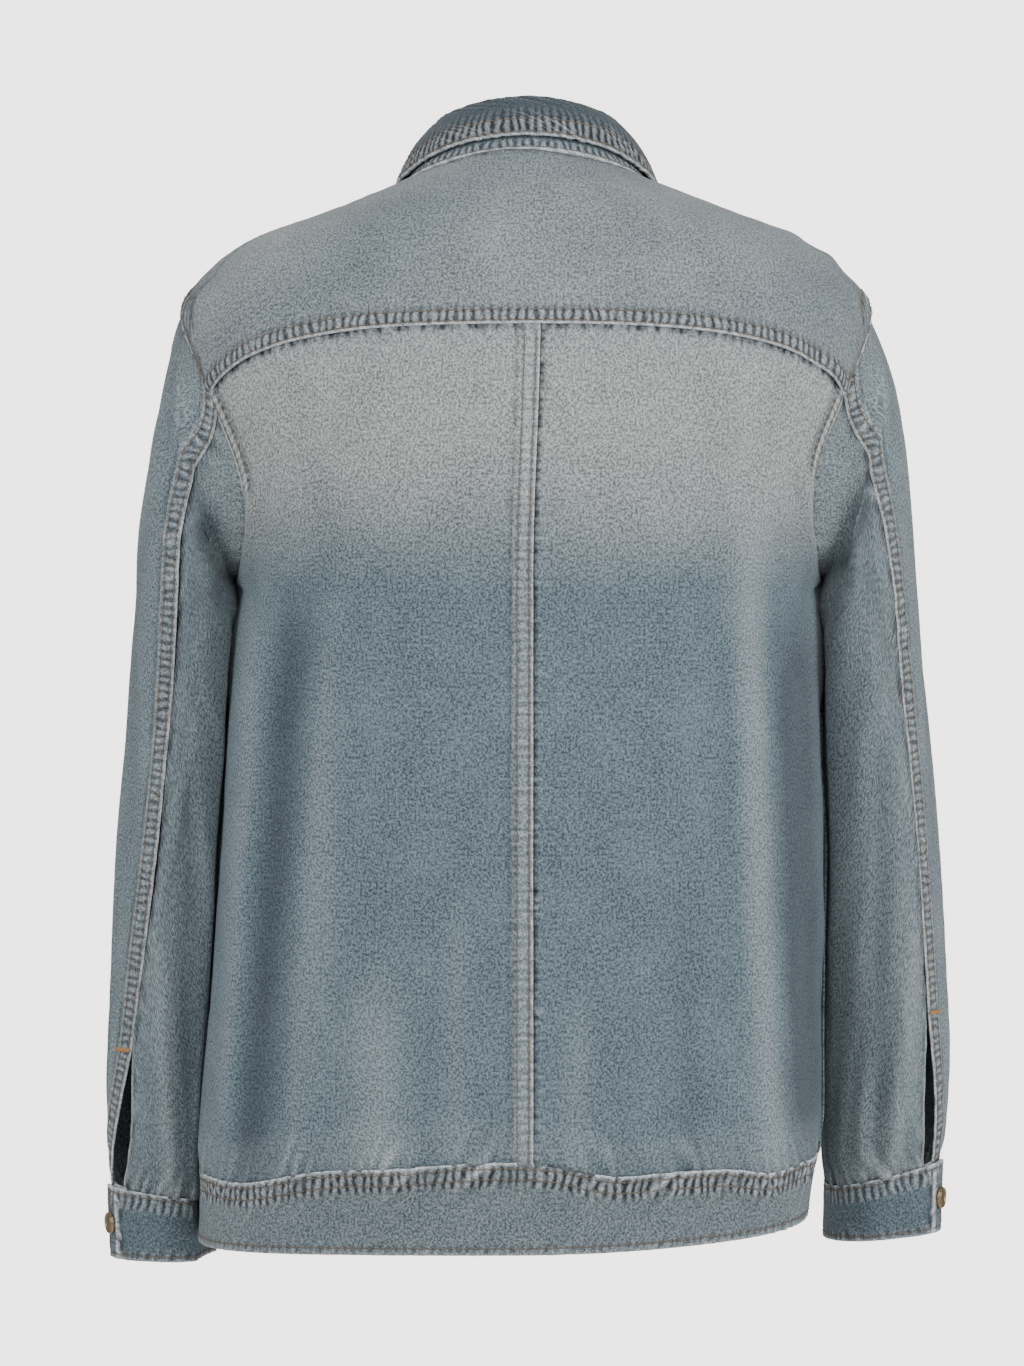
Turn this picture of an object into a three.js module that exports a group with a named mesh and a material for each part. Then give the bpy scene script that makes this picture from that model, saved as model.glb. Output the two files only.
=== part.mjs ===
import * as THREE from 'three';

// A denim shirt jacket in its worn shape, hollow, in millimetres with +Z up.
// The front faces -Y and the wearer's left is +X. The origin is the middle of the neck opening.

const DENIM = 1.6; // wall of a panel
const DOUBLE = 2.6; // wall of a folded band, a cuff or the collar
const GAP = 0.35; // between pieces at a seam
const ARMHOLE_GAP = 0.9; // where the panels meet a sleeve at an angle
const FELL_WIDTH = 12.5; // felled centre-back and sleeve seams
const FELL_RISE = 0.9;
const EDGE_WIDTH = 8; // turned edges of the yoke and the armholes
const EDGE_RISE = 0.8;
const PLACKET_WIDTH = 34;
const LAP_RISE = DOUBLE + 0.4; // how far a lapped end stands out over the end below it
const LAP_RAMP = 42; // length over which cloth climbs to its lapped end
const BUTTON_RADIUS = 8.5;
const CUFF_BUTTON_RADIUS = 7.5;
const BUTTON_HEIGHT = 3.4;
const BUTTON_LEVELS = [-82, -186, -290, -394, -498, -594]; // below the neck, at the centre front
const SEAM_PROUD = 0.9; // bands stand this far outside the panel that they hold

const table = (columns, ...rows) =>
  rows.map((row) => Object.fromEntries(columns.map((name, i) => [name, row[i]])));

// Body sections from the neck seam to the lower edge. level is a section's height at its sides, backZ and
// frontZ its heights at the centre back and front, middle and half its place and half width across.
const BODY = table(
  ['level', 'middle', 'half', 'back', 'front', 'backZ', 'frontZ', 'square'],
  [0, -1, 78, 62, 85, 13.5, -70, 2],
  [-11, -2, 106, 80, 97, -3, -80, 2],
  [-24, -2, 138, 96, 107, -19, -90, 2],
  [-37, -1, 175, 108, 115, -37, -101, 2],
  [-50, -1, 197, 117, 122, -54, -111, 2],
  [-63, -1, 210, 123, 127, -70, -120, 2.05],
  [-76, -1, 221, 127, 132, -84, -129, 2.1],
  [-95, -1, 226, 131, 138, -101, -141, 2.1],
  [-115, -1, 225, 134, 143, -118, -154, 2.1],
  [-143, -1, 218, 137, 148, -143, -171, 2.1],
  [-190, -1.5, 202, 140, 153, -190, -203, 2.1],
  [-255, -2.5, 187, 138, 155, -255, -256, 2.2],
  [-297, -1.5, 190, 134, 154, -297, -297, 2.25],
  [-363, 0, 192.7, 130, 150, -363, -363, 2.3],
  [-440, 1.6, 196.6, 128, 147, -440, -440, 2.3],
  [-531, 4.7, 199, 131, 148, -531, -531, 2.3],
  [-596, 7.5, 201.5, 136, 151, -596, -596, 2.3],
  [-622, 10, 201, 137, 151, -622, -622, 2.3],
  [-642, 12, 198, 133, 147, -642, -642, 2.3],
  [-690, 15.5, 195, 129, 142, -690, -690, 2.3],
);

// Soft vertical folds, as runs of the body's surface from one height to another. A rise below zero is a
// trough. The side is 1 on the back and -1 on the front.
const FOLDS = table(
  ['side', 'topX', 'topZ', 'lowX', 'lowZ', 'width', 'rise'],
  [1, 141, -235, 174, -630, 15, -5],
  [1, -135, -175, -157, -630, 12, 4],
  [1, -163, -250, -176, -600, 15, -5],
  [1, 94, -470, 92, -640, 17, 3],
  [-1, 118, -230, 138, -620, 16, -5],
  [-1, -120, -240, -146, -630, 16, -5],
  [-1, 62, -420, 66, -640, 18, 3],
  [-1, -58, -380, -64, -640, 18, 3],
);
const FOLD_END = 90; // a fold fades in and out over this height

const ARMHOLE = { top: -76, widest: -190, bottom: -255, backSpread: 26.3, frontSpread: 27 };
const YOKE = { middle: -98, tip: -143.4, tipAngle: 66, curve: 2.6 };
const YOKE_FRONT = { neckAngle: 122, armholeAngle: 106.6, armholeLevel: -100 };
const CENTRE_SEAM = { top: -9, low: -4.5, settles: -260 }; // X of the centre-back seam
const HEM = { back: -621, front: -634, left: -642, right: -631 };
const HEM_EDGE = { back: -677.5, front: -684, left: -685, right: -668 };

// Sleeve sections. outer and inner are the section's far and near sides, depth its half size from front
// to back, seam the angle of the back seam, in degrees from straight back towards the outer side.
const SLEEVE_COLUMNS = ['outerX', 'outerZ', 'innerX', 'innerZ', 'middleY', 'depth', 'seam'];
const SLEEVES = {
  left: table(
    SLEEVE_COLUMNS,
    [228, -102, 189, -258, -5, 67, -3.9],
    [235, -130, 189, -264, -9, 71, -2.1],
    [242, -163, 187, -272, -13, 74, 1.5],
    [247, -200, 184, -284, -18, 76, 6],
    [252, -245, 180, -301, -24, 77, 7.5],
    [257.5, -300, 178, -331, -29, 75, 9.2],
    [262, -365, 180, -377, -34, 71, 11.4],
    [267.5, -432, 184, -437, -38, 67, 14],
    [271, -495, 188, -497, -41, 63, 21],
    [274.5, -555, 191, -556, -43, 60, 29],
    [276, -610, 195, -612, -44, 55, 37.5],
    [272, -654, 204, -664, -45, 46, 52],
  ),
  right: table(
    SLEEVE_COLUMNS,
    [234, -108, 193, -258, -5, 67, 4.4],
    [241, -132, 193, -264, -9, 71, 4],
    [246, -163, 191, -272, -13, 74, 9.5],
    [249, -200, 188, -284, -18, 76, 18.5],
    [254, -245, 184, -301, -24, 77, 25],
    [260, -300, 182, -331, -29, 75, 27.8],
    [266.5, -365, 184, -377, -34, 71, 29.5],
    [272, -432, 187, -437, -38, 67, 32.5],
    [276, -495, 190, -497, -41, 63, 34],
    [278.5, -555, 193, -556, -43, 60, 35.5],
    [276.5, -607, 195, -612, -44, 55, 41],
    [272, -638, 199, -656, -45, 46, 47],
  ),
};
const CUFFS = {
  left: { start: 40, drop: 46, innerDrop: 38, outerX: 270, innerX: 205, middleY: -46, depth: 45 },
  right: { start: 43, drop: 45, innerDrop: 34, outerX: 271, innerX: 199, middleY: -46, depth: 45 },
};
const SLEEVE_SQUARE = 2.2;
const FRONT_SEAM = 236; // angle of the sleeve's front seam, in the same degrees as the back one
const SEAM_START = { left: 22, right: 27 }; // angle where the back seam leaves the armhole
// The slits above the cuffs: from and widest by section number, widths in millimetres.
const SLITS = {
  left: { from: 9.9, widest: 11.4, width: 16, atCuff: 13 },
  right: { from: 9.5, widest: 11, width: 11, atCuff: 9 },
};
const CUFF_LAP = 24; // degrees by which a cuff's end laps the other
const SLEEVE_START = 0.03; // place along a sleeve, by section number, just outside the armhole seam
const CLEAR_OF_BODY = 2.4;
const CUFF_CLEAR_OF_BODY = 5.5;

// Collar: the fold line over the stand, and the fall's lower edge as a run along the body.
const FOLD_LINE = { half: 55, back: 40, front: 78, backZ: 47, sideZ: 38, frontZ: -42 };
const FALL_EDGE = table(
  ['angle', 'level', 'lift', 'out'],
  [0, 0, 8, 4],
  [45, 0, 6, 4],
  [90, -2, 0, 3.4],
  [125, -10, 0, 3.8],
  [150, -27, 0, 6],
  [166, -42, 0, 7.5],
);
const FALL_END_ANGLE = 174; // where the fold line ends beside the centre front
const FALL_BULGE = 5;

const DENIM_BLUE = 0x5f6b7a;
const DENIM_GREY = 0x7d7f83;
const METAL = 0x8a7a5c;

const DEG = Math.PI / 180;
const clamp = (x, low = 0, high = 1) => Math.min(high, Math.max(low, x));
const lerp = (a, b, t) => a + (b - a) * t;
const smooth = (t) => {
  const c = clamp(t);
  return c * c * (3 - 2 * c);
};
const evenly = (count) => Array.from({ length: count + 1 }, (_, i) => i / count);
const vec = (x, y, z) => new THREE.Vector3(x, y, z);

function hermite(a, b, slopeA, slopeB, t) {
  if (t < 0) return a + slopeA * t;
  if (t > 1) return b + slopeB * (t - 1);
  const t2 = t * t;
  const t3 = t2 * t;
  return (
    a * (2 * t3 - 3 * t2 + 1) + slopeA * (t3 - 2 * t2 + t) + b * (3 * t2 - 2 * t3) + slopeB * (t3 - t2)
  );
}

// The row of a table between its rows, by a smooth curve through them.
function sample(rows, key, at) {
  const rising = rows[1][key] > rows[0][key];
  let i = 0;
  while (i < rows.length - 2 && (rising ? at > rows[i + 1][key] : at < rows[i + 1][key])) i += 1;
  const a = rows[i];
  const b = rows[i + 1];
  const before = rows[Math.max(i - 1, 0)];
  const after = rows[Math.min(i + 2, rows.length - 1)];
  const span = b[key] - a[key];
  const result = {};
  for (const name of Object.keys(a)) {
    const slopeA = ((b[name] - before[name]) / (b[key] - before[key])) * span;
    const slopeB = ((after[name] - a[name]) / (after[key] - a[key])) * span;
    result[name] = hermite(a[name], b[name], slopeA, slopeB, (at - a[key]) / span);
  }
  return result;
}

// How much a superellipse point moves out from the ellipse point of the same angle.
const squareness = (sin, cos, square) =>
  (Math.abs(sin) ** square + Math.abs(cos) ** square) ** (-1 / square);

function foldRise(x, z, isBack) {
  let rise = 0;
  for (const fold of FOLDS) {
    if (fold.side > 0 !== isBack) continue;
    const along = (z - fold.topZ) / (fold.lowZ - fold.topZ);
    const centre = lerp(fold.topX, fold.lowX, along);
    const fade = smooth((fold.topZ - z) / FOLD_END) * smooth((z - fold.lowZ) / FOLD_END + 0.6);
    rise += fold.rise * fade * Math.exp(-(((x - centre) / fold.width) ** 2));
  }
  return rise;
}

// A point of the body's outer surface. The angle runs from the centre back to the wearer's left.
function bodyPoint(angle, level) {
  const row = sample(BODY, 'level', level);
  const sin = Math.sin(angle * DEG);
  const cos = Math.cos(angle * DEG);
  const k = squareness(sin, cos, row.square);
  const isBack = cos > 0;
  const x = row.middle + row.half * sin * k;
  const z = level + ((isBack ? row.backZ : row.frontZ) - level) * cos * cos;
  const depth = (isBack ? row.back : row.front) + foldRise(x, z, isBack) * Math.min(1, Math.abs(cos) * 2.5);
  return vec(x, depth * cos * k, z);
}

// The outward normal of a surface given by two parameters, for a wall whose faces wind the same way.
function normalOf(surface, u, v, stepU, stepV, turn = 1) {
  const alongU = surface(u + stepU, v).sub(surface(u - stepU, v));
  const alongV = surface(u, v + stepV).sub(surface(u, v - stepV));
  return alongU.cross(alongV).normalize().multiplyScalar(turn);
}

function onBody(angle, level) {
  return { point: bodyPoint(angle, level), normal: normalOf(bodyPoint, angle, level, 0.4, -0.5) };
}

// Degrees that a distance along the body takes up at an angle.
function degreesFor(distance, angle, level) {
  const perDegree = bodyPoint(angle + 0.5, level).distanceTo(bodyPoint(angle - 0.5, level));
  return distance / perDegree;
}

const armholeSpread = (level) => {
  const reach = level > ARMHOLE.widest ? ARMHOLE.top - ARMHOLE.widest : ARMHOLE.widest - ARMHOLE.bottom;
  return Math.sqrt(Math.max(0, 1 - ((level - ARMHOLE.widest) / reach) ** 2));
};
const backEdgeAngle = (level) =>
  level < ARMHOLE.bottom ? 90 : 90 - ARMHOLE.backSpread * armholeSpread(level);
const frontEdgeAngle = (level) =>
  level < ARMHOLE.bottom ? 90 : 90 + ARMHOLE.frontSpread * armholeSpread(level);
const armholeTopLevel = (angle) => {
  const spread = angle < 90 ? (90 - angle) / ARMHOLE.backSpread : (angle - 90) / ARMHOLE.frontSpread;
  return ARMHOLE.widest + (ARMHOLE.top - ARMHOLE.widest) * Math.sqrt(Math.max(0, 1 - spread ** 2));
};
const yokeLevel = (angle) =>
  YOKE.middle + (YOKE.tip - YOKE.middle) * (Math.abs(angle) / YOKE.tipAngle) ** YOKE.curve;

// The height of the hem seam or of the hem's edge at an angle.
function hemLevel(angle, heights) {
  const side = Math.sin(angle * DEG) > 0 ? heights.left : heights.right;
  const middle = Math.cos(angle * DEG) > 0 ? heights.back : heights.front;
  return side + (middle - side) * Math.cos(angle * DEG) ** 2;
}

// A closed wall from a grid of outer points and their normals. A wall that joins up has no end faces.
function wall(columns, rows, place, thickness, joined = false) {
  const positions = [];
  const count = columns * rows;
  const inner = [];
  for (let j = 0; j < rows; j += 1) {
    for (let i = 0; i < columns; i += 1) {
      const { point, normal, rise = 0, edge = normal } = place(i, j);
      positions.push(...point.clone().addScaledVector(normal, rise).toArray());
      inner.push(...point.clone().addScaledVector(edge, -thickness).toArray());
    }
  }
  const index = [];
  const quad = (a, b, c, d) => index.push(a, b, c, a, c, d);
  const at = (i, j) => j * columns + (i % columns);
  const steps = joined ? columns : columns - 1;
  for (let j = 0; j < rows - 1; j += 1) {
    for (let i = 0; i < steps; i += 1) {
      const corners = [at(i, j), at(i + 1, j), at(i + 1, j + 1), at(i, j + 1)];
      quad(...corners);
      quad(...corners.map((corner) => corner + count).reverse());
    }
  }
  for (let i = 0; i < steps; i += 1) {
    quad(at(i + 1, 0), at(i, 0), at(i, 0) + count, at(i + 1, 0) + count);
    const last = rows - 1;
    quad(at(i, last), at(i + 1, last), at(i + 1, last) + count, at(i, last) + count);
  }
  for (let j = 0; j < rows - 1 && !joined; j += 1) {
    quad(at(0, j), at(0, j + 1), at(0, j + 1) + count, at(0, j) + count);
    const end = columns - 1;
    quad(at(end, j + 1), at(end, j), at(end, j) + count, at(end, j + 1) + count);
  }
  const geometry = new THREE.BufferGeometry();
  geometry.setAttribute('position', new THREE.Float32BufferAttribute([...positions, ...inner], 3));
  geometry.setIndex(outwards([...positions, ...inner], index));
  return geometry;
}

// Turns every face over if the closed surface is inside out.
function outwards(positions, index) {
  let volume = 0;
  const corner = (k) => vec(positions[3 * k], positions[3 * k + 1], positions[3 * k + 2]);
  for (let i = 0; i < index.length; i += 3) {
    volume += corner(index[i]).dot(corner(index[i + 1]).cross(corner(index[i + 2])));
  }
  return volume > 0 ? index : [...index].reverse();
}

const group = new THREE.Group();

function add(name, geometry, color, metalness = 0, roughness = 0.9) {
  const mesh = new THREE.Mesh(geometry, new THREE.MeshStandardMaterial({ color, metalness, roughness }));
  mesh.name = name;
  group.add(mesh);
  return mesh;
}

// Parameters from start to finish with the given strips, in their own units, kept at both ends.
function across(start, finish, startStrip, count, endStrip) {
  const first = start + startStrip[startStrip.length - 1];
  const last = finish - endStrip[0];
  const between = evenly(count).slice(1, -1);
  return [
    ...startStrip.map((distance) => start + distance),
    ...between.map((t) => lerp(first, last, t)),
    ...endStrip.map((distance) => finish - distance),
  ];
}

// The yoke: each column runs from the neck seam to the yoke seam or the armhole.
function makeYoke() {
  const tip = YOKE.tipAngle / YOKE_FRONT.armholeAngle;
  const half = [...evenly(10).map((t) => t * tip), ...evenly(7).slice(1).map((t) => lerp(tip, 1, t))];
  const columns = [...half.slice(1).reverse().map((t) => -t), ...half];
  const rows = [0.004, 0.1, 0.24, 0.4, 0.56, 0.72, 0.85, 0.925, 0.94, 1];
  const place = (i, j) => {
    const side = Math.sign(columns[i]);
    const part = Math.abs(columns[i]);
    const outerAngle = part * YOKE_FRONT.armholeAngle;
    const onSeam = outerAngle <= YOKE.tipAngle + 1e-6;
    const outerLevel = onSeam
      ? yokeLevel(outerAngle) + GAP / 2
      : armholeTopLevel(outerAngle) + ARMHOLE_GAP;
    const endAngle = lerp(YOKE_FRONT.neckAngle, YOKE_FRONT.armholeAngle, rows[j]) - 0.12;
    const level = outerLevel * rows[j];
    const rise = j >= rows.length - 2 ? EDGE_RISE : 0;
    return { ...onBody(side * part * endAngle, level), rise };
  };
  add('back_yoke', wall(columns.length, rows.length, place, DENIM), DENIM_GREY);
}

// Levels of a side edge: the armhole, with closer rows towards its bottom, then the side seam.
function edgeLevels(top, hem) {
  const armhole = [0, 0.16, 0.32, 0.48, 0.62, 0.75, 0.86, 0.94, 0.985].map((t) =>
    lerp(top, ARMHOLE.bottom, t),
  );
  const seam = [0, 0.05, 0.13, 0.24, 0.36, 0.48, 0.6, 0.72, 0.83, 0.915, 0.97, 1].map((t) =>
    lerp(ARMHOLE.bottom - GAP, hem, t),
  );
  return [...armhole, ...seam];
}

function centreSeamAngle(level) {
  const row = sample(BODY, 'level', level);
  const settled = smooth((YOKE.middle - level) / (YOKE.middle - CENTRE_SEAM.settles));
  const x = lerp(CENTRE_SEAM.top, CENTRE_SEAM.low, settled);
  return Math.asin((x - row.middle) / row.half) / DEG;
}

// A back panel, from the centre-back seam to the armhole and side seam. The left one carries the fell.
function makeBackPanel(name, side) {
  const hemSide = (side > 0 ? HEM.left : HEM.right) + GAP;
  const edge = edgeLevels(YOKE.tip - 3 * GAP, hemSide);
  const last = edge.length - 1;
  const place = (i, j) => {
    const down = j / last;
    const middleLevel = lerp(YOKE.middle - GAP / 2, HEM.back + GAP, down);
    const seamAngle = side * centreSeamAngle(middleLevel);
    const edgeAngle = backEdgeAngle(edge[j]);
    const perMm = degreesFor(1, 0, middleLevel);
    const edgePerMm = degreesFor(1, side * edgeAngle, edge[j]);
    const fell = side > 0 ? [0, 1, FELL_WIDTH - 1, FELL_WIDTH].map((d) => d * perMm) : [GAP * perMm];
    const strip = [EDGE_WIDTH + 1, EDGE_WIDTH, edge[j] > ARMHOLE.bottom ? ARMHOLE_GAP : GAP / 2].map(
      (d) => d * edgePerMm,
    );
    const angles = across(seamAngle, edgeAngle, fell, side > 0 ? 9 : 11, strip);
    const part = angles[i] / edgeAngle;
    const seamShape = Math.abs(part) ** YOKE.curve;
    const hemShape = Math.sin(part * 90 * DEG) ** 2;
    const level = lerp(middleLevel, edge[j], lerp(seamShape, hemShape, down));
    const onFell = side > 0 && i < 3;
    const onEdge = i >= angles.length - 2 && edge[j] > ARMHOLE.bottom;
    const rise = onFell ? FELL_RISE : onEdge ? EDGE_RISE : 0;
    return { ...onBody(side * angles[i], level), rise };
  };
  add(name, wall(side > 0 ? 15 : 14, edge.length, place, DENIM), DENIM_BLUE);
}

// The angle at a distance from the centre front, on the wearer's left for a distance above zero.
function frontAngle(distance, level) {
  const row = sample(BODY, 'level', level);
  return 180 - Math.asin(distance / row.half) / DEG;
}

// A front panel, from the placket to the armhole and side seam, below the neck and the front yoke seam.
function makeFront(name, side) {
  const hemSide = (side > 0 ? HEM.left : HEM.right) + GAP;
  const edge = edgeLevels(YOKE_FRONT.armholeLevel, hemSide);
  const last = edge.length - 1;
  const neckColumns = 5;
  const yokeColumns = 6;
  const count = neckColumns + yokeColumns + 3;
  const topAngle = frontAngle(PLACKET_WIDTH / 2 + GAP, 0);
  const topAt = (i) => {
    const along = clamp((i / (count - 1)) * (neckColumns + yokeColumns), 0, neckColumns + yokeColumns);
    const onYoke = clamp((along - neckColumns) / yokeColumns);
    const neckAngle = lerp(topAngle, YOKE_FRONT.neckAngle + 0.3, clamp(along / neckColumns));
    const yokeAngle = lerp(YOKE_FRONT.neckAngle, YOKE_FRONT.armholeAngle, onYoke) + 0.3;
    return { angle: onYoke > 0 ? yokeAngle : neckAngle, level: YOKE_FRONT.armholeLevel * onYoke - 0.4 };
  };
  const place = (i, j) => {
    const top = topAt(i);
    const share = i / (count - 1);
    const edgeShare = (edge[j] - edge[0]) / (edge[last] - edge[0]);
    const down = lerp(j / last, edgeShare, share * share);
    const topStart = frontAngle(PLACKET_WIDTH / 2 + GAP, top.level);
    const start = frontAngle(PLACKET_WIDTH / 2 + GAP, lerp(top.level, HEM.front, down));
    const edgeAngle = frontEdgeAngle(edge[j]);
    const edgePerMm = degreesFor(1, side * edgeAngle, edge[j]);
    const strip = [EDGE_WIDTH + 1, EDGE_WIDTH, edge[j] > ARMHOLE.bottom ? ARMHOLE_GAP : GAP / 2].map(
      (d) => -d * edgePerMm,
    );
    const angles = across(start, edgeAngle, [0], count - 3, strip);
    const topShare = (topStart - top.angle) / (topStart - frontEdgeAngle(edge[0]));
    const fromTop = lerp(start, angles[count - 1], topShare);
    const angle = lerp(fromTop, angles[i], smooth(down * 3));
    const level = top.level + (hemLevel(side * angle, HEM) + GAP - top.level) * down;
    const reach = Math.abs(bodyPoint(angle, level).x - bodyPoint(start, level).x);
    const lap = side < 0 ? LAP_RISE * smooth(1 - reach / LAP_RAMP) : 0;
    const onEdge = i >= count - 2 && edge[j] > ARMHOLE.bottom;
    const { point, normal } = onBody(side * angle, level);
    return { point: point.addScaledVector(normal, lap), normal, rise: onEdge ? EDGE_RISE : 0 };
  };
  add(name, wall(count, edge.length, place, DENIM), DENIM_BLUE);
}

// A front band over the centre front. The right one laps over the left one.
function makePlacket(name, side) {
  const out = side < 0 ? LAP_RISE : 0;
  const rows = evenly(22);
  const place = (i, j) => {
    const level = lerp(-0.4, HEM.front + GAP, rows[j]);
    const distance = lerp(PLACKET_WIDTH / 2, -PLACKET_WIDTH / 2, i / 2);
    const { point, normal } = onBody(side * frontAngle(distance, level), level);
    return { point: point.addScaledVector(normal, out), normal };
  };
  add(name, wall(3, rows.length, place, DOUBLE), DENIM_BLUE);
}

// How far a band stands out near its right end, which laps over its left end. The angle runs from the
// right end, below -180 degrees, to the left end, above 180.
function lapRise(angle, level) {
  const row = sample(BODY, 'level', level);
  const endAngle = -360 + frontAngle(PLACKET_WIDTH / 2, level);
  const reach = Math.abs(angle - endAngle) * DEG * row.half - PLACKET_WIDTH;
  return LAP_RISE * smooth(1 - reach / LAP_RAMP);
}

// The hem band, one strip from its right end round the back to its left end.
function makeHemBand() {
  const columns = 58;
  const rows = [0, 0.14, 0.5, 0.86, 1];
  const place = (i, j) => {
    const end = 360 - frontAngle(PLACKET_WIDTH / 2, HEM.front);
    const angle = lerp(-end, end, i / (columns - 1));
    const level = lerp(hemLevel(angle, HEM) - GAP, hemLevel(angle, HEM_EDGE), rows[j]);
    const { point, normal } = onBody(angle, level);
    const out = SEAM_PROUD + lapRise(angle, level) - (j === rows.length - 1 ? 0.5 : 0);
    return { point: point.addScaledVector(normal, out), normal };
  };
  add('hem_band', wall(columns, rows.length, place, DOUBLE), DENIM_BLUE);
}

// Moves a point out of the body's way where a sleeve would touch it.
function clearOfBody(point, margin) {
  if (point.z > ARMHOLE.bottom + 12) return point;
  const row = sample(BODY, 'level', Math.min(point.z, ARMHOLE.bottom));
  const depth = point.y > 0 ? row.back : row.front;
  const sideways = (point.x - row.middle) / row.half;
  const along = point.y / depth;
  const size = (Math.abs(sideways) ** row.square + Math.abs(along) ** row.square) ** (1 / row.square);
  const needed = 1 + margin / row.half;
  if (size >= needed) return point;
  return vec(row.middle + ((point.x - row.middle) * needed) / size, (point.y * needed) / size, point.z);
}

// A point of a tube's section. The angle runs from straight back towards the outer side.
function sectionPoint(row, side, angle) {
  const sin = Math.sin(angle * DEG);
  const cos = Math.cos(angle * DEG);
  const k = squareness(sin, cos, SLEEVE_SQUARE);
  const x = (row.outerX + row.innerX) / 2 + ((row.outerX - row.innerX) / 2) * sin * k;
  const z = (row.outerZ + row.innerZ) / 2 + ((row.outerZ - row.innerZ) / 2) * sin * k;
  return vec(side * x, row.middleY + row.depth * cos * k, z);
}

// A point of the armhole seam, for the sleeve angle that meets it.
function armholePoint(side, angle) {
  const up = Math.sin(angle * DEG);
  const back = Math.cos(angle * DEG);
  const spread = back > 0 ? ARMHOLE.backSpread : ARMHOLE.frontSpread;
  const reach = up > 0 ? ARMHOLE.top - ARMHOLE.widest : ARMHOLE.widest - ARMHOLE.bottom;
  const { point, normal } = onBody(side * (90 - spread * back), ARMHOLE.widest + reach * up);
  return { point: point.addScaledVector(normal, 2.6 * Math.max(0, -up)), normal };
}

// A sleeve's outer surface: along is 0 at the armhole and counts the sections after it.
function sleevePoint(side, angle, along) {
  const rows = side > 0 ? SLEEVES.left : SLEEVES.right;
  const ring = (k) => {
    if (k <= 0) return armholePoint(side, angle).point;
    const point = sectionPoint(rows[Math.min(k, rows.length) - 1], side, angle);
    return clearOfBody(point, CLEAR_OF_BODY);
  };
  const k = clamp(Math.floor(along), 0, rows.length - 1);
  const [before, a, b, after] = [ring(k - 1), ring(k), ring(k + 1), ring(k + 2)];
  const coordinate = (name) => {
    const slopeA = (b[name] - before[name]) / (k > 0 ? 2 : 1);
    const slopeB = (after[name] - a[name]) / (k + 2 <= rows.length ? 2 : 1);
    return hermite(a[name], b[name], slopeA, slopeB, along - k);
  };
  const point = vec(coordinate('x'), coordinate('y'), coordinate('z'));
  return along > 0.5 ? clearOfBody(point, CLEAR_OF_BODY * smooth(along)) : point;
}

function seamAngleAt(hand, along) {
  const numbered = SLEEVES[hand].map((row, i) => ({ along: i + 1, seam: row.seam }));
  return sample([{ along: 0, seam: SEAM_START[hand] }, ...numbered], 'along', along).seam;
}

// Half the slit's width at a place along the sleeve, in millimetres.
function slitHalf(slit, along, end) {
  const opening = slit.width * smooth((along - slit.from) / (slit.widest - slit.from));
  const closing = lerp(1, slit.atCuff / slit.width, smooth((along - slit.widest) / (end - slit.widest)));
  return (opening * closing) / 2;
}

function makeSleeve(hand, side) {
  const end = SLEEVES[hand].length;
  const upTo = [SLEEVE_START, 0.3, 0.7, 1.1, 1.6, 2.2, 2.9, 3.6, 4.3, 5, 5.7, 6.4, 7.1, 7.8, 8.5, 9.2, 9.7];
  const rows = [...upTo, 10.1, 10.6, 11.1, 11.6, end - 0.01];
  const surface = (angle, along) => sleevePoint(side, angle, along);
  const perMm = (angle, along) => 1 / surface(angle + 0.5, along).distanceTo(surface(angle - 0.5, along));
  const shellAt = (angle, along, rise) => {
    const normal = normalOf(surface, angle, clamp(along, 0.02, end - 0.05), 0.6, 0.01, side);
    const seam = armholePoint(side, angle).normal;
    const mitre = along === SLEEVE_START ? Math.max(0, Math.sin(angle * DEG)) : 0;
    const edge = normal.clone().lerp(seam, mitre).normalize();
    return { point: surface(angle, along), normal, rise, edge };
  };
  const upper = (i, j) => {
    const seam = seamAngleAt(hand, rows[j]);
    const opening = slitHalf(SLITS[hand], rows[j], end);
    const scale = perMm(seam, rows[j]);
    const fell = [GAP / 2, 1.2, FELL_WIDTH - 1.2, FELL_WIDTH].map((d) => (d + opening) * scale);
    const angles = across(seam, FRONT_SEAM, fell, 12, [0.15]);
    return shellAt(angles[i], rows[j], i < 3 && j > 1 ? FELL_RISE : 0);
  };
  const under = (i, j) => {
    const seam = seamAngleAt(hand, rows[j]) + 360;
    const gap = (2 * GAP + slitHalf(SLITS[hand], rows[j], end)) * perMm(seam, rows[j]);
    return shellAt(lerp(FRONT_SEAM + 0.15, seam - gap, i / 8), rows[j], 0);
  };
  add(`sleeve_upper_${hand}`, wall(16, rows.length, upper, DENIM), DENIM_BLUE);
  add(`sleeve_under_${hand}`, wall(9, rows.length, under, DENIM), DENIM_BLUE);
}

// The surface of a cuff, from its seam at 0 to its edge at 1.
function cuffPoint(hand, side, angle, down) {
  const top = SLEEVES[hand][SLEEVES[hand].length - 1];
  const cuff = CUFFS[hand];
  const row = {
    outerX: lerp(top.outerX, cuff.outerX, down),
    outerZ: top.outerZ - GAP - cuff.drop * down,
    innerX: lerp(top.innerX, cuff.innerX, down),
    innerZ: top.innerZ - GAP - cuff.innerDrop * down,
    middleY: lerp(top.middleY, cuff.middleY, down),
    depth: lerp(top.depth, cuff.depth, down),
  };
  return clearOfBody(sectionPoint(row, side, angle), CUFF_CLEAR_OF_BODY);
}

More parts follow.
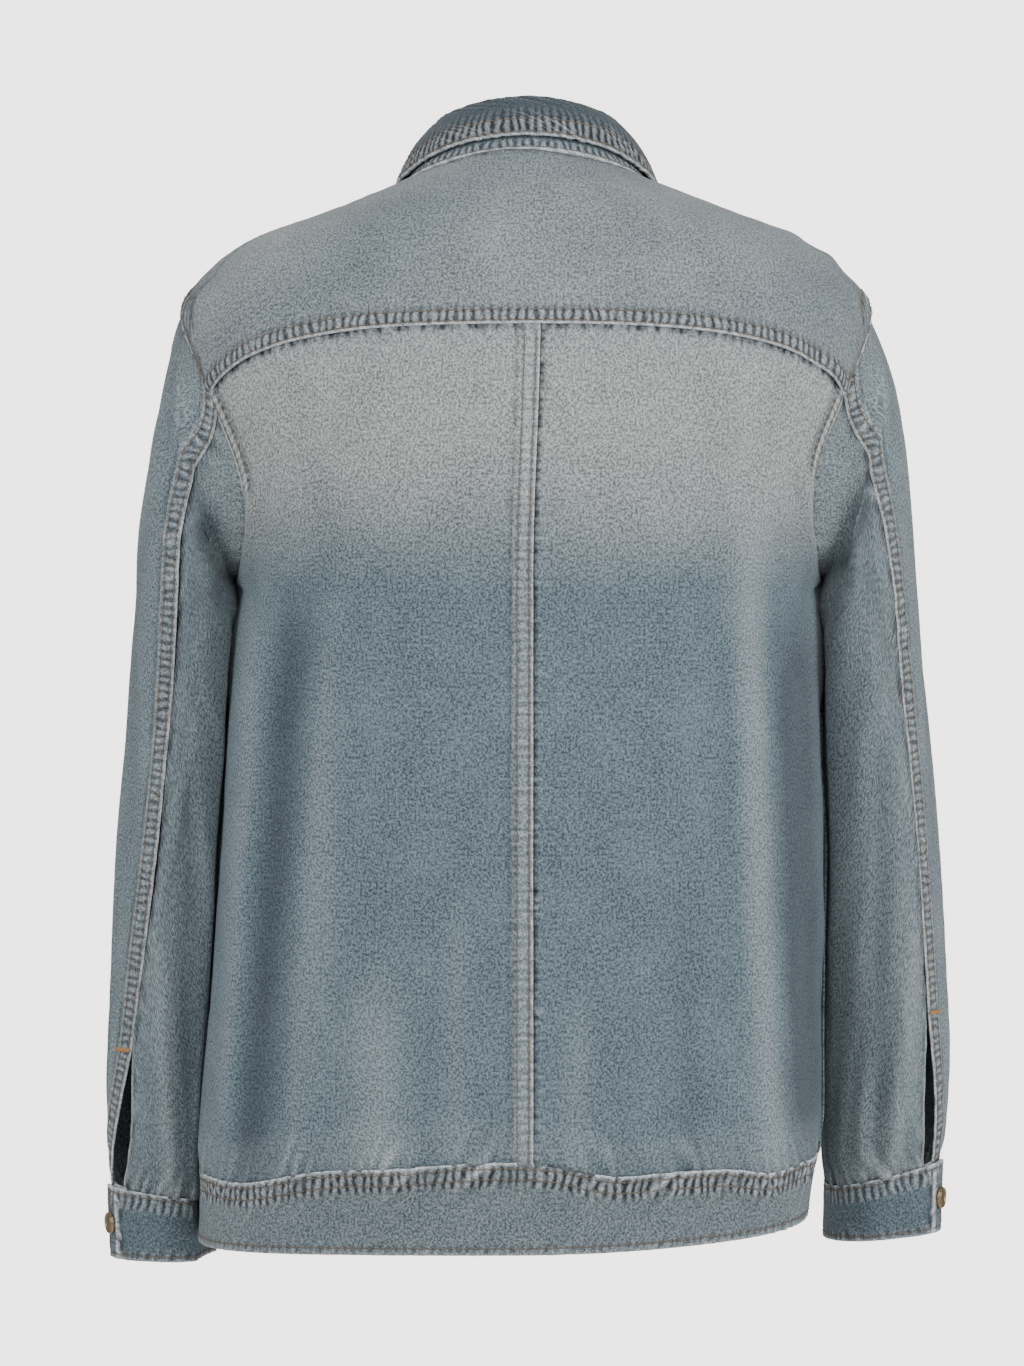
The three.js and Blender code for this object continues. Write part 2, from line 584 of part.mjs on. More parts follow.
function makeCuff(hand, side) {
  const { start } = CUFFS[hand];
  const columns = 27;
  const rows = [0, 0.15, 0.5, 0.85, 1];
  const surface = (angle, down) => cuffPoint(hand, side, angle, down);
  const place = (i, j) => {
    const angle = lerp(start, start + 360 + CUFF_LAP, i / (columns - 1));
    const beforeEnd = (start + 360 - angle) / 30;
    const normal = normalOf(surface, angle, rows[j], 0.6, 0.02, side);
    const out = SEAM_PROUD + LAP_RISE * smooth(1 - beforeEnd) - (j === rows.length - 1 ? 0.5 : 0);
    return { point: surface(angle, rows[j]).addScaledVector(normal, out), normal };
  };
  add(`cuff_${hand}`, wall(columns, rows.length, place, DOUBLE), DENIM_BLUE);
  const angle = start + 4 + CUFF_LAP / 2;
  const normal = normalOf(surface, angle, 0.5, 0.6, 0.02, side);
  const seat = surface(angle, 0.5).addScaledVector(normal, SEAM_PROUD + LAP_RISE + GAP);
  makeButton(`cuff_button_${hand}`, CUFF_BUTTON_RADIUS, seat, normal);
}

// The neck seam and the collar's fold line above it.
function foldPoint(angle) {
  const sin = Math.sin(angle * DEG);
  const cos = Math.cos(angle * DEG);
  const line = FOLD_LINE;
  const endZ = cos > 0 ? line.backZ : line.frontZ;
  return vec(
    BODY[0].middle + line.half * sin,
    (cos > 0 ? line.back : line.front) * cos,
    line.sideZ + (endZ - line.sideZ) * cos * cos,
  );
}

function standPoint(angle, up) {
  const seam = bodyPoint(angle, 0);
  const toFold = foldPoint(angle).sub(seam);
  const low = (0.6 + lapRise(angle, 0)) / toFold.length();
  return seam.addScaledVector(toFold, lerp(low, 0.88, up));
}

function makeStand() {
  const columns = 40;
  const rows = 3;
  const end = 360 - frontAngle(PLACKET_WIDTH / 2, 0);
  const place = (i, j) => {
    const angle = lerp(-end, end, i / (columns - 1));
    const up = 1 - j / (rows - 1);
    const normal = normalOf(standPoint, angle, up, 0.5, -0.02);
    return { point: standPoint(angle, up).addScaledVector(normal, lapRise(angle, 0)), normal };
  };
  add('collar_stand', wall(columns, rows, place, DOUBLE), DENIM_GREY);
}

// The fall's outer surface, from the fold line at 0 to its lower edge at 1.
function fallPoint(share, down) {
  const side = Math.sign(share) || 1;
  const part = Math.abs(share);
  const edge = sample(FALL_EDGE, 'angle', part * FALL_EDGE[FALL_EDGE.length - 1].angle);
  const { point, normal } = onBody(side * edge.angle, edge.level);
  const toFold = foldPoint(side * edge.angle).sub(point).normalize();
  const low = point.addScaledVector(toFold, edge.lift).addScaledVector(normal, edge.out);
  const top = foldPoint(side * part * FALL_END_ANGLE).add(vec(0, 0, 2.2));
  const outward = vec(low.x - top.x, low.y - top.y, 0).normalize();
  const bulge = FALL_BULGE * Math.sin(Math.PI * Math.min(1, down + 0.12 * (1 - down)));
  const overStand = 1.6 + LAP_RISE * smooth((part - 0.7) * 5);
  return top.lerp(low, down).addScaledVector(outward, bulge + overStand * (1 - down));
}

function makeFall() {
  const columns = 37;
  const rows = [0, 0.15, 0.4, 0.7, 0.86, 1];
  const place = (i, j) => {
    const share = lerp(-1, 1, i / (columns - 1));
    const normal = normalOf(fallPoint, clamp(share, -0.99, 0.99), clamp(rows[j], 0.02, 0.98), 0.01, 0.02);
    return { point: fallPoint(share, rows[j]), normal };
  };
  add('collar_fall', wall(columns, rows.length, place, DOUBLE), DENIM_GREY);
}

// A shank button with a turned rim, seated on cloth along its normal.
function makeButton(name, radius, seat, normal) {
  const profile = [
    [0, 0],
    [radius * 0.9, 0],
    [radius, BUTTON_HEIGHT * 0.45],
    [radius * 0.86, BUTTON_HEIGHT],
    [radius * 0.7, BUTTON_HEIGHT * 0.72],
    [0, BUTTON_HEIGHT * 0.8],
  ];
  const geometry = new THREE.LatheGeometry(profile.map(([x, y]) => new THREE.Vector2(x, y)), 14);
  const mesh = add(name, geometry, METAL, 1, 0.4);
  mesh.position.copy(seat);
  mesh.quaternion.setFromUnitVectors(vec(0, 1, 0), normal);
}

function makeFrontButtons() {
  const onPlacket = LAP_RISE + GAP;
  BUTTON_LEVELS.forEach((level, i) => {
    const { point, normal } = onBody(180, level);
    makeButton(`front_button_${i + 1}`, BUTTON_RADIUS, point.addScaledVector(normal, onPlacket), normal);
  });
  const bandLevel = (HEM.front + HEM_EDGE.front) / 2;
  const band = onBody(180, bandLevel);
  band.point.addScaledVector(band.normal, onPlacket + SEAM_PROUD);
  makeButton('band_button', BUTTON_RADIUS, band.point, band.normal);
  const standNormal = normalOf(standPoint, 180, 0.45, 0.5, -0.02);
  const stand = standPoint(180, 0.45).addScaledVector(standNormal, onPlacket + GAP);
  makeButton('stand_button', CUFF_BUTTON_RADIUS, stand, standNormal);
}

makeYoke();
makeBackPanel('back_panel_left', 1);
makeBackPanel('back_panel_right', -1);
makeFront('front_left', 1);
makeFront('front_right', -1);
makePlacket('placket_left', 1);
makePlacket('placket_right', -1);
makeSleeve('left', 1);
makeSleeve('right', -1);
makeCuff('left', 1);
makeCuff('right', -1);
makeHemBand();
makeStand();
makeFall();
makeFrontButtons();

export default group;
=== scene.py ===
import bmesh
import bpy
import numpy as np
from mathutils import Matrix, Vector


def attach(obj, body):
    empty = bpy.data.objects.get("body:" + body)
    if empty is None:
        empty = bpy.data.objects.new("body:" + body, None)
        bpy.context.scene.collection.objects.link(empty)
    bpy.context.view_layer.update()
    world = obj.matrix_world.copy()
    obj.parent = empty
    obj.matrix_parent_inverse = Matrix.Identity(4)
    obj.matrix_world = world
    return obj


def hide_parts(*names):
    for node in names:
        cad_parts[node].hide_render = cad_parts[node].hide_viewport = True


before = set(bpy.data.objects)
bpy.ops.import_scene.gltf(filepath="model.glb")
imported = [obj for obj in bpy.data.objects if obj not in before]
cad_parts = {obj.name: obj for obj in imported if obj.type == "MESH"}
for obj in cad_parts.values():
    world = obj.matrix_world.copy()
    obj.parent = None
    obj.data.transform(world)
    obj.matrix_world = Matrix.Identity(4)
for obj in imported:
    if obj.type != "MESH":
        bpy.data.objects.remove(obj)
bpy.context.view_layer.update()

# The jacket's sizes are in millimetres in the same frame as its solids, and MM turns them into metres.
MM = 0.001
DEG = np.pi / 180
SIDES = (("left", 1), ("right", -1))

GAP = 0.35
CLOTH = 1.2  # thickness of one layer as modelled here
DOUBLE = 2.2
SOLID_DOUBLE = 2.6
FELL_WIDTH = 12.5
PLACKET_WIDTH = 34
LAP_RISE = SOLID_DOUBLE + 0.4
LAP_RAMP = 42
SEAM_PROUD = 0.9
STITCH = 3.1
HEM_STITCH = 3.2
FELL_ROWS = (2.6, 9.8)  # stitch rows of the centre-back fell
SLEEVE_ROWS = (2.6, 9.4)
ARMHOLE_ROWS = (2.2, 8)
YOKE_ROWS = (2.2, 9.0)
PLACKET_ROWS = (2.4, PLACKET_WIDTH - 2.4)
HEM_TOP_ROWS = (3.6, 10.6)
HEM_LOW_ROW = 4.5
CUFF_ROW = 3.2
CUFF_TOP_ROW = 3.0
STAND_ROW = 3.2
COLLAR_ROWS = (2.6, 11.5)
THREAD_RADIUS = 0.42
THREAD_LENGTH = 2.3
TACK_RADIUS = 0.5
TACK_STITCHES = 12


# Tables and curves through them

def table(columns, *rows):
    return {name: np.array([row[i] for row in rows], float) for i, name in enumerate(columns)}


BODY = table(
    ["level", "middle", "half", "back", "front", "backZ", "frontZ", "square"],
    [0, -1, 78, 62, 85, 13.5, -70, 2],
    [-11, -2, 106, 80, 97, -3, -80, 2],
    [-24, -2, 138, 96, 107, -19, -90, 2],
    [-37, -1, 175, 108, 115, -37, -101, 2],
    [-50, -1, 197, 117, 122, -54, -111, 2],
    [-63, -1, 210, 123, 127, -70, -120, 2.05],
    [-76, -1, 221, 127, 132, -84, -129, 2.1],
    [-95, -1, 226, 131, 138, -101, -141, 2.1],
    [-115, -1, 225, 134, 143, -118, -154, 2.1],
    [-143, -1, 218, 137, 148, -143, -171, 2.1],
    [-190, -1.5, 202, 140, 153, -190, -203, 2.1],
    [-255, -2.5, 187, 138, 155, -255, -256, 2.2],
    [-297, -1.5, 190, 134, 154, -297, -297, 2.25],
    [-363, 0, 192.7, 130, 150, -363, -363, 2.3],
    [-440, 1.6, 196.6, 128, 147, -440, -440, 2.3],
    [-531, 4.7, 199, 131, 148, -531, -531, 2.3],
    [-596, 7.5, 201.5, 136, 151, -596, -596, 2.3],
    [-622, 10, 201, 137, 151, -622, -622, 2.3],
    [-642, 12, 198, 133, 147, -642, -642, 2.3],
    [-690, 15.5, 195, 129, 142, -690, -690, 2.3],
)

# Main folds as in the solids, then finer ones. The side is 1 on the back and -1 on the front.
FOLDS = [
    # side, topX, topZ, lowX, lowZ, width, rise
    (1, 141, -235, 174, -630, 15, -5),
    (1, -135, -175, -157, -630, 12, 4),
    (1, -163, -250, -176, -600, 15, -5),
    (1, 94, -470, 92, -640, 17, 3),
    (-1, 118, -230, 138, -620, 16, -5),
    (-1, -120, -240, -146, -630, 16, -5),
    (-1, 62, -420, 66, -640, 18, 3),
    (-1, -58, -380, -64, -640, 18, 3),
]
SOFT_FOLDS = [
    (1, 170, -250, 190, -600, 8, 1.6),
    (1, 120, -300, 133, -560, 11, 1.2),
    (1, 42, -420, 44, -620, 9, 1.1),
    (1, 66, -520, 62, -640, 6, -0.9),
    (1, -32, -480, -30, -640, 8, 1.4),
    (1, -58, -540, -62, -640, 6, -1.1),
    (1, -96, -430, -104, -640, 10, -1.2),
    (1, -178, -240, -186, -600, 11, -3.8),
    (1, 118, -230, 150, -630, 9, 1.3),
    (1, 158, -230, 189, -620, 8, 1.3),
    (1, -122, -260, -132, -520, 7, -1.0),
    (1, 20, -560, 18, -640, 5, -0.8),
    (1, 112, -110, 128, -220, 14, -1.0),
    (1, -118, -110, -126, -210, 14, -1.0),
    (1, 150, -560, 156, -640, 6, -1.2),
    (-1, 95, -150, 82, -330, 16, -1.6),
    (-1, -98, -150, -84, -340, 16, -1.5),
    (-1, 160, -280, 172, -560, 10, 1.8),
    (-1, -158, -270, -170, -590, 10, 1.7),
    (-1, 36, -500, 40, -640, 8, -1.3),
    (-1, -92, -470, -98, -640, 9, 1.5),
    (-1, -34, -540, -38, -640, 6, -1.0),
    (-1, 108, -520, 112, -640, 8, 1.4),
]
FOLD_END = 90

ARMHOLE = {"top": -76, "widest": -190, "bottom": -255, "back": 26.3, "front": 27}
YOKE = {"middle": -98, "tip": -143.4, "tip_angle": 66, "curve": 2.6}
YOKE_FRONT = {"neck_angle": 122, "armhole_angle": 106.6, "armhole_level": -100}
NECK_SHARE = 5 / 11  # how much of a front's top edge runs along the neck
SAG_START = 0.86  # how far down a panel the sags of the hem seam begin
CENTRE_SEAM = {"top": -9, "low": -4.5, "settles": -260}
SEWN_ON_TOP = {"left": -212, "right": -196}  # levels down to which the back armholes are sewn on top
FADE_ENDS = {"back": -272, "front": -265, "placket": -235}  # levels at which the faded upper cloth ends
HEM = {"back": -621, "front": -634, "left": -642, "right": -631}
HEM_EDGE = {"back": -677.5, "front": -684, "left": -685, "right": -668}

SLEEVE_COLUMNS = ["outerX", "outerZ", "innerX", "innerZ", "middleY", "depth", "seam"]
SLEEVES = {
    "left": table(
        SLEEVE_COLUMNS,
        [228, -102, 189, -258, -5, 67, -3.9],
        [235, -130, 189, -264, -9, 71, -2.1],
        [242, -163, 187, -272, -13, 74, 1.5],
        [247, -200, 184, -284, -18, 76, 6],
        [252, -245, 180, -301, -24, 77, 7.5],
        [257.5, -300, 178, -331, -29, 75, 9.2],
        [262, -365, 180, -377, -34, 71, 11.4],
        [267.5, -432, 184, -437, -38, 67, 14],
        [271, -495, 188, -497, -41, 63, 21],
        [274.5, -555, 191, -556, -43, 60, 29],
        [276, -610, 195, -612, -44, 55, 37.5],
        [272, -654, 204, -664, -45, 46, 52],
    ),
    "right": table(
        SLEEVE_COLUMNS,
        [234, -108, 193, -258, -5, 67, 4.4],
        [241, -132, 193, -264, -9, 71, 4],
        [246, -163, 191, -272, -13, 74, 9.5],
        [249, -200, 188, -284, -18, 76, 18.5],
        [254, -245, 184, -301, -24, 77, 25],
        [260, -300, 182, -331, -29, 75, 27.8],
        [266.5, -365, 184, -377, -34, 71, 29.5],
        [272, -432, 187, -437, -38, 67, 32.5],
        [276, -495, 190, -497, -41, 63, 34],
        [278.5, -555, 193, -556, -43, 60, 35.5],
        [276.5, -607, 195, -612, -44, 55, 41],
        [272, -638, 199, -656, -45, 46, 47],
    ),
}
CUFFS = {
    "left": {"start": 40, "drop": 46, "innerDrop": 38, "outerX": 270, "innerX": 205},
    "right": {"start": 43, "drop": 45, "innerDrop": 34, "outerX": 271, "innerX": 199},
}
CUFF_FOOT = {"middleY": -46, "depth": 45}
SLEEVE_SQUARE = 2.2
SLEEVE_UNDERLAP = 1.1  # degrees by which a sleeve's first row lies under the body's edge
SLEEVE_DEPTH = CLOTH + 0.6  # how far below the body's surface it lies
SLEEVE_STOP = 0.01  # the share of a section by which the sleeve ends short of the cuff
FRONT_SEAM = 236
FRONT_SEAM_GAP = 0.15
SEAM_START = {"left": 22, "right": 27}
SLITS = {
    "left": {"from": 9.9, "widest": 11.4, "width": 16, "at_cuff": 13},
    "right": {"from": 9.5, "widest": 11, "width": 11, "at_cuff": 9},
}
CUFF_LAP = 24  # degrees round the cuff
CUFF_LAP_RAMP = 30
TAB = 15  # width of the cuff's stiff lapping end
CLEAR_OF_BODY = 2.4
CUFF_CLEAR_OF_BODY = 5.5
FOLD_LINE = {"half": 55, "back": 40, "front": 78, "backZ": 47, "sideZ": 38, "frontZ": -42}
FALL_EDGE = table(
    ["angle", "level", "lift", "out"],
    [0, 0, 8, 4],
    [45, 0, 6, 4],
    [90, -2, 0, 3.4],
    [125, -10, 0, 3.8],
    [150, -27, 0, 6],
    [166, -42, 0, 7.5],
)
FALL_END_ANGLE = 174
FALL_BULGE = 5
FALL_ABOVE_STAND = 2.2
STAND_FOOT = 0.9  # how far the stand reaches below the neck seam
STAND_TOP = 0.88  # how far up it goes towards the fold line


def lerp(a, b, t):
    return a + (b - a) * t


def smooth(t):
    c = np.clip(t, 0, 1)
    return c * c * (3 - 2 * c)


def hermite(a, b, slope_a, slope_b, t):
    c = np.clip(t, 0, 1)
    c2 = c * c
    c3 = c2 * c
    inside = a * (2 * c3 - 3 * c2 + 1) + b * (3 * c2 - 2 * c3)
    inside = inside + slope_a * (c3 - 2 * c2 + c) + slope_b * (c3 - c2)
    return inside + slope_a * np.minimum(t, 0) + slope_b * np.maximum(t - 1, 0)


def sample(rows, key, at):
    """The columns of a table between its rows, by smooth curves through them."""
    keys = rows[key]
    order = 1 if keys[1] > keys[0] else -1
    i = np.clip(np.searchsorted(order * keys, order * np.asarray(at, float), "right") - 1, 0, len(keys) - 2)
    before, after = np.maximum(i - 1, 0), np.minimum(i + 2, len(keys) - 1)
    span = keys[i + 1] - keys[i]
    t = (at - keys[i]) / span
    result = {}
    for name, values in rows.items():
        slope_a = (values[i + 1] - values[before]) / (keys[i + 1] - keys[before]) * span
        slope_b = (values[after] - values[i]) / (keys[after] - keys[i]) * span
        result[name] = hermite(values[i], values[i + 1], slope_a, slope_b, t)
    return result


def squareness(sin, cos, square):
    return (np.abs(sin) ** square + np.abs(cos) ** square) ** (-1 / square)


def bell(distance, width):
    return np.exp(-((distance / width) ** 2))


def stacked(x, y, z):
    return np.stack(np.broadcast_arrays(x, y, z), axis=-1).astype(float)


def unit(vectors):
    return vectors / np.maximum(np.linalg.norm(vectors, axis=-1, keepdims=True), 1e-9)


# The body's surface

def fold_rise(folds, x, z, is_back):
    rise = np.zeros(np.broadcast(x, z).shape)
    for side, top_x, top_z, low_x, low_z, width, height in folds:
        along = (z - top_z) / (low_z - top_z)
        centre = lerp(top_x, low_x, along)
        fade = smooth((top_z - z) / FOLD_END) * smooth((z - low_z) / FOLD_END + 0.6)
        part = height * fade * bell(x - centre, width)
        rise = rise + np.where((side > 0) == is_back, part, 0)
    return rise


def body_point(angle, level):
    row = sample(BODY, "level", level)
    sin, cos = np.sin(angle * DEG), np.cos(angle * DEG)
    k = squareness(sin, cos, row["square"])
    is_back = cos > 0
    x = row["middle"] + row["half"] * sin * k
    z = level + (np.where(is_back, row["backZ"], row["frontZ"]) - level) * cos * cos
    depth = np.where(is_back, row["back"], row["front"])
    depth = depth + fold_rise(FOLDS, x, z, is_back) * np.minimum(1, np.abs(cos) * 2.5)
    return stacked(x, depth * cos * k, z)


def surface_normal(surface, u, v, step_u, step_v, turn=1):
    along_u = surface(u + step_u, v) - surface(u - step_u, v)
    along_v = surface(u, v + step_v) - surface(u, v - step_v)
    return unit(np.cross(along_u, along_v)) * turn


def body_normal(angle, level):
    return surface_normal(body_point, angle, level, 0.4, -0.5)


def armhole_spread(level):
    above, below = ARMHOLE["top"] - ARMHOLE["widest"], ARMHOLE["widest"] - ARMHOLE["bottom"]
    reach = np.where(level > ARMHOLE["widest"], above, below)
    return np.sqrt(np.maximum(0, 1 - ((level - ARMHOLE["widest"]) / reach) ** 2))


def edge_angle(level, spread):
    return np.where(level < ARMHOLE["bottom"], 90, 90 + spread * armhole_spread(level))


def armhole_top_level(angle):
    spread = np.where(angle < 90, (90 - angle) / ARMHOLE["back"], (angle - 90) / ARMHOLE["front"])
    return ARMHOLE["widest"] + (ARMHOLE["top"] - ARMHOLE["widest"]) * np.sqrt(np.maximum(0, 1 - spread**2))


def yoke_level(angle):
    return lerp(YOKE["middle"], YOKE["tip"], (np.abs(angle) / YOKE["tip_angle"]) ** YOKE["curve"])


def hem_level(angle, heights):
    side = np.where(np.sin(angle * DEG) > 0, heights["left"], heights["right"])
    middle = np.where(np.cos(angle * DEG) > 0, heights["back"], heights["front"])
    return side + (middle - side) * np.cos(angle * DEG) ** 2


# Where the hem seam sags between the folds: angles from the centre back, each with its depth and width
HEM_SAGS = [
    (-19, -8, 9),
    (-33, -4, 9),
    (-52, -6, 10),
    (20, -2, 9),
    (52, -6, 14),
    (150, -5, 9),
    (-146, -6, 10),
]


def hem_sag(angle):
    sag = 0
    for middle, depth, width in HEM_SAGS:
        away = (angle - middle + 180) % 360 - 180
        sag = sag + depth * bell(away, width)
    return sag


def edge_levels(v, top, hem):
    """Levels down a side edge: the armhole, with closer rows towards its bottom, then the side seam."""
    armhole = np.array([0, 0.16, 0.32, 0.48, 0.62, 0.75, 0.86, 0.94, 0.985])
    seam = np.array([0, 0.05, 0.13, 0.24, 0.36, 0.48, 0.6, 0.72, 0.83, 0.915, 0.97, 1])
    levels = np.concatenate([lerp(top, ARMHOLE["bottom"], armhole), lerp(ARMHOLE["bottom"] - GAP, hem, seam)])
    return np.interp(v * (len(levels) - 1), np.arange(len(levels)), levels)


def front_angle(distance, level):
    return 180 - np.arcsin(distance / sample(BODY, "level", level)["half"]) / DEG


# Cloth relief: puckers, seams, wear and painted light and shade are worked out from distances across a piece

def ripple(along, seed, shortest, longest, waves=5):
    """A smooth uneven wave along a line, about from -1 to 1."""
    random = np.random.default_rng(seed)
    total = 0
    for _ in range(waves):
        length = random.uniform(shortest, longest)
        total = total + np.sin(2 * np.pi * along / length + random.uniform(0, 2 * np.pi))
    return total / waves**0.5


def swell(across, down, seed, shortest, longest, waves=7):
    """A smooth uneven surface, about from -1 to 1."""
    random = np.random.default_rng(seed)
    total = 0
    for _ in range(waves):
        turn = random.uniform(0, np.pi)
        length = random.uniform(shortest, longest)
        run = across * np.cos(turn) + down * np.sin(turn)
        total = total + np.sin(2 * np.pi * run / length + random.uniform(0, 2 * np.pi))
    return total / waves**0.5


def puckers(along, away, seed, pitch=8.5, reach=14, slant=0.35):
    """Gathers across a seam, which fade away from it. Ridges are above zero."""
    phase = 2 * np.pi * (along + slant * away) / pitch + 1.9 * ripple(along, seed, 22, 60)
    strength = 0.62 + 0.38 * ripple(along, seed + 1, 25, 80)
    spread = reach * (1 + 0.35 * ripple(along, seed + 2, 9, 30))
    return np.sin(phase) * strength * bell(away, np.maximum(spread, 3))


def band(distance, start, stop, soft=0.7):
    return smooth((distance - start) / soft + 0.5) * smooth((stop - distance) / soft + 0.5)


def evened(values, reach=9):
    """Smooths values down the rows of a piece."""
    padded = np.pad(values, ((reach, reach), (0, 0)), mode="edge")
    return sum(padded[k : k + len(values)] for k in range(2 * reach + 1)) / (2 * reach + 1)


TONES = ("worn", "dark", "fade", "gather_u", "gather_v")


class Relief:
    """Height in millimetres, and at each point of a piece how worn and gathered the cloth is, with its
    painted highlights, how dark it is and its painted shade.
    """

    def __init__(self, grid, u, v):
        step_u = np.linalg.norm(np.diff(grid, axis=1), axis=-1)
        step_v = np.linalg.norm(np.diff(grid, axis=0), axis=-1)
        zero_u, zero_v = np.zeros((grid.shape[0], 1)), np.zeros((1, grid.shape[1]))
        self.run_u = np.concatenate([zero_u, np.cumsum(step_u, axis=1)], axis=1)
        self.run_v = np.concatenate([zero_v, np.cumsum(step_v, axis=0)], axis=0)
        along_u, along_v = unit(np.gradient(grid, axis=1)), unit(np.gradient(grid, axis=0))
        lean = evened((along_u * along_v).sum(-1))
        sine = np.sqrt(np.clip(1 - lean**2, 0.04, 1))
        self.lean = lean[:, :1]
        self.left = self.run_u * sine[:, :1]
        self.right = (self.run_u[:, -1:] - self.run_u) * sine[:, -1:]
        self.top = self.run_v * sine[:1]
        self.low = (self.run_v[-1:] - self.run_v) * sine[-1:]
        for layer in ("height",) + TONES:
            setattr(self, layer, np.zeros(grid.shape[:2]))
        self.grid, self.u, self.v = grid, u, v

    def pucker(self, along, away, seed, height=0.5, tint=0.5, **shape):
        wave = puckers(along, away, seed, **shape)
        self.height += height * wave
        # Ridges turn paler with wear; the hollows darken as unworn dye and painted shade.
        self.worn += tint * np.maximum(0, wave) ** 1.5
        self.dark += tint * np.maximum(0, -wave)

    def worn_line(self, along, away, seed, width=1.1, amount=0.9):
        broken = 0.8 + 0.3 * ripple(along, seed, 5, 16)
        self.worn += amount * broken * bell(away, width)

    # A painted shadow along a line beside a raised edge or fold.
    def painted_shadow_line(self, along, away, seed, centre=0.0, width=1.6, amount=0.8):
        broken = 0.75 + 0.35 * ripple(along, seed, 8, 30)
        self.dark += amount * broken * bell(away - centre, width)

    def raise_strip(self, distance, stop, rise=0.9):
        self.height += rise * band(distance, -5, stop)

    def grooves(self, distance, *rows, depth=0.28, width=0.9):
        """Sinks the cloth along its rows of stitches, with painted shade in the grooves."""
        for row in rows:
            self.height -= depth * bell(distance - row, width)
            self.dark += 0.35 * bell(distance - row, width * 1.2)

    def undulate(self, seed, height=0.5):
        self.height += height * swell(self.left, self.top, seed, 55, 170)
        self.height += 0.22 * height * swell(self.left, self.top, seed + 1, 14, 40, 9)


# Sewing

thread_rows = []


def grid_normals(grid):
    along_u = np.gradient(grid, axis=1)
    along_v = np.gradient(grid, axis=0)
    return unit(np.cross(along_u, along_v))


def row_beside(relief, edge, at):
    """The line on a piece beside one of its edges, at a distance, and the cloth's outward side there."""
    grid, normals, distance = relief.grid, relief.normals, getattr(relief, edge)
    if edge in ("top", "low"):
        grid, normals, distance = grid.transpose(1, 0, 2), normals.transpose(1, 0, 2), distance.T
    sign = -1 if edge in ("right", "low") else 1
    last = grid.shape[1] - 1
    places = [np.interp(sign * at, sign * across, np.arange(last + 1)) for across in distance]
    before = [int(min(i, last - 0.001)) for i in places]
    points = [lerp(row[a], row[a + 1], i - a) for row, i, a in zip(grid, places, before)]
    return np.array(points), np.array([row[a] for row, a in zip(normals, before)])


def sew(relief, edge, distances, keep=(0.0, 1.0), colour="tan", pitch=STITCH):
    """Keeps rows of stitches beside an edge for the sewing thread that is made at the end."""
    for at in distances:
        points, normals = row_beside(relief, edge, at)
        lengths = np.linalg.norm(np.diff(points, axis=0), axis=1)
        along = np.concatenate([[0], np.cumsum(lengths)])
        places = np.arange(keep[0] * along[-1] + pitch, keep[1] * along[-1] - pitch, pitch)

        def at_places(values, ahead=0.0):
            return np.stack([np.interp(places + ahead, along, values[:, k]) for k in range(3)], axis=1)

        centres = at_places(points)
        ahead = unit(at_places(points, 0.6) - centres)
        thread_rows.append((centres, ahead, unit(at_places(normals)), colour))


# Materials

# Worn threads give the pale colour, which also paints highlights; unfaded dye gives the deep colour, which
# also paints shade.
WORN_WHITE_AND_HIGHLIGHT = (0.70, 0.73, 0.74, 1)
DARK_DYE_AND_SHADE = (0.016, 0.024, 0.034, 1)


def add_node(tree, kind, sockets=(), **settings):
    """A shader node, with its sockets given as values or as the outputs that feed them."""
    node = tree.nodes.new(kind)
    for name, value in settings.items():
        setattr(node, name, value)
    for name, value in dict(sockets).items():
        if isinstance(value, bpy.types.NodeSocket):
            tree.links.new(value, node.inputs[name])
        else:
            node.inputs[name].default_value = value
    return node


def mix(tree, factor, first, second):
    sockets = {0: factor, 6: first, 7: second}
    return add_node(tree, "ShaderNodeMix", sockets, data_type="RGBA", clamp_factor=True).outputs[2]


def maths(tree, operation, first, second, clamp=False):
    sockets = {0: first, 1: second}
    return add_node(tree, "ShaderNodeMath", sockets, operation=operation, use_clamp=clamp).outputs[0]


def spread(tree, value, low, high):
    """Stretches the values between low and high over the whole range from 0 to 1."""
    sockets = {"Value": value, "From Min": low, "From Max": high}
    return add_node(tree, "ShaderNodeMapRange", sockets).outputs[0]


def noise(tree, place, limits, scale, stretch=(1, 1, 1), detail=3, roughness=0.55, offset=0.0):
    moved = {"Vector": place, "Scale": stretch, "Location": (offset, offset * 0.7, 0)}
    mapping = add_node(tree, "ShaderNodeMapping", moved)
    sockets = {"Vector": mapping.outputs[0], "Scale": scale, "Detail": detail, "Roughness": roughness}
    return spread(tree, add_node(tree, "ShaderNodeTexNoise", sockets).outputs["Fac"], *limits)


def wave(tree, place, direction, scale, distortion, detail_scale, roughness=0.5):
    sockets = {"Vector": place, "Scale": scale, "Distortion": distortion, "Detail": 2}
    sockets.update({"Detail Scale": detail_scale, "Detail Roughness": roughness})
    return add_node(tree, "ShaderNodeTexWave", sockets, bands_direction=direction).outputs["Fac"]


def bars(tree, place, direction):
    """Uneven bars, about one to each 6 mm, that show where cloth is gathered by sewing."""
    return spread(tree, wave(tree, place, direction, 57, 5.0, 1.1, 0.6), 0.1, 0.85)


def attribute(tree, name):
    return add_node(tree, "ShaderNodeAttribute", attribute_name=name).outputs["Fac"]


def weighted(tree, *parts):
    total = None
    for value, weight in parts:
        part = maths(tree, "MULTIPLY", value, weight)
        total = part if total is None else maths(tree, "ADD", total, part)
    return total


def start_material(name, roughness):
    material = bpy.data.materials.new(name)
    material.use_nodes = True
    shader = material.node_tree.nodes["Principled BSDF"]
    shader.inputs["Roughness"].default_value = roughness
    return material, material.node_tree, shader


def add_bump(tree, shader, height, strength, distance):
    bump = add_node(tree, "ShaderNodeBump", {"Height": height, "Strength": strength, "Distance": distance})
    tree.links.new(bump.outputs[0], shader.inputs["Normal"])


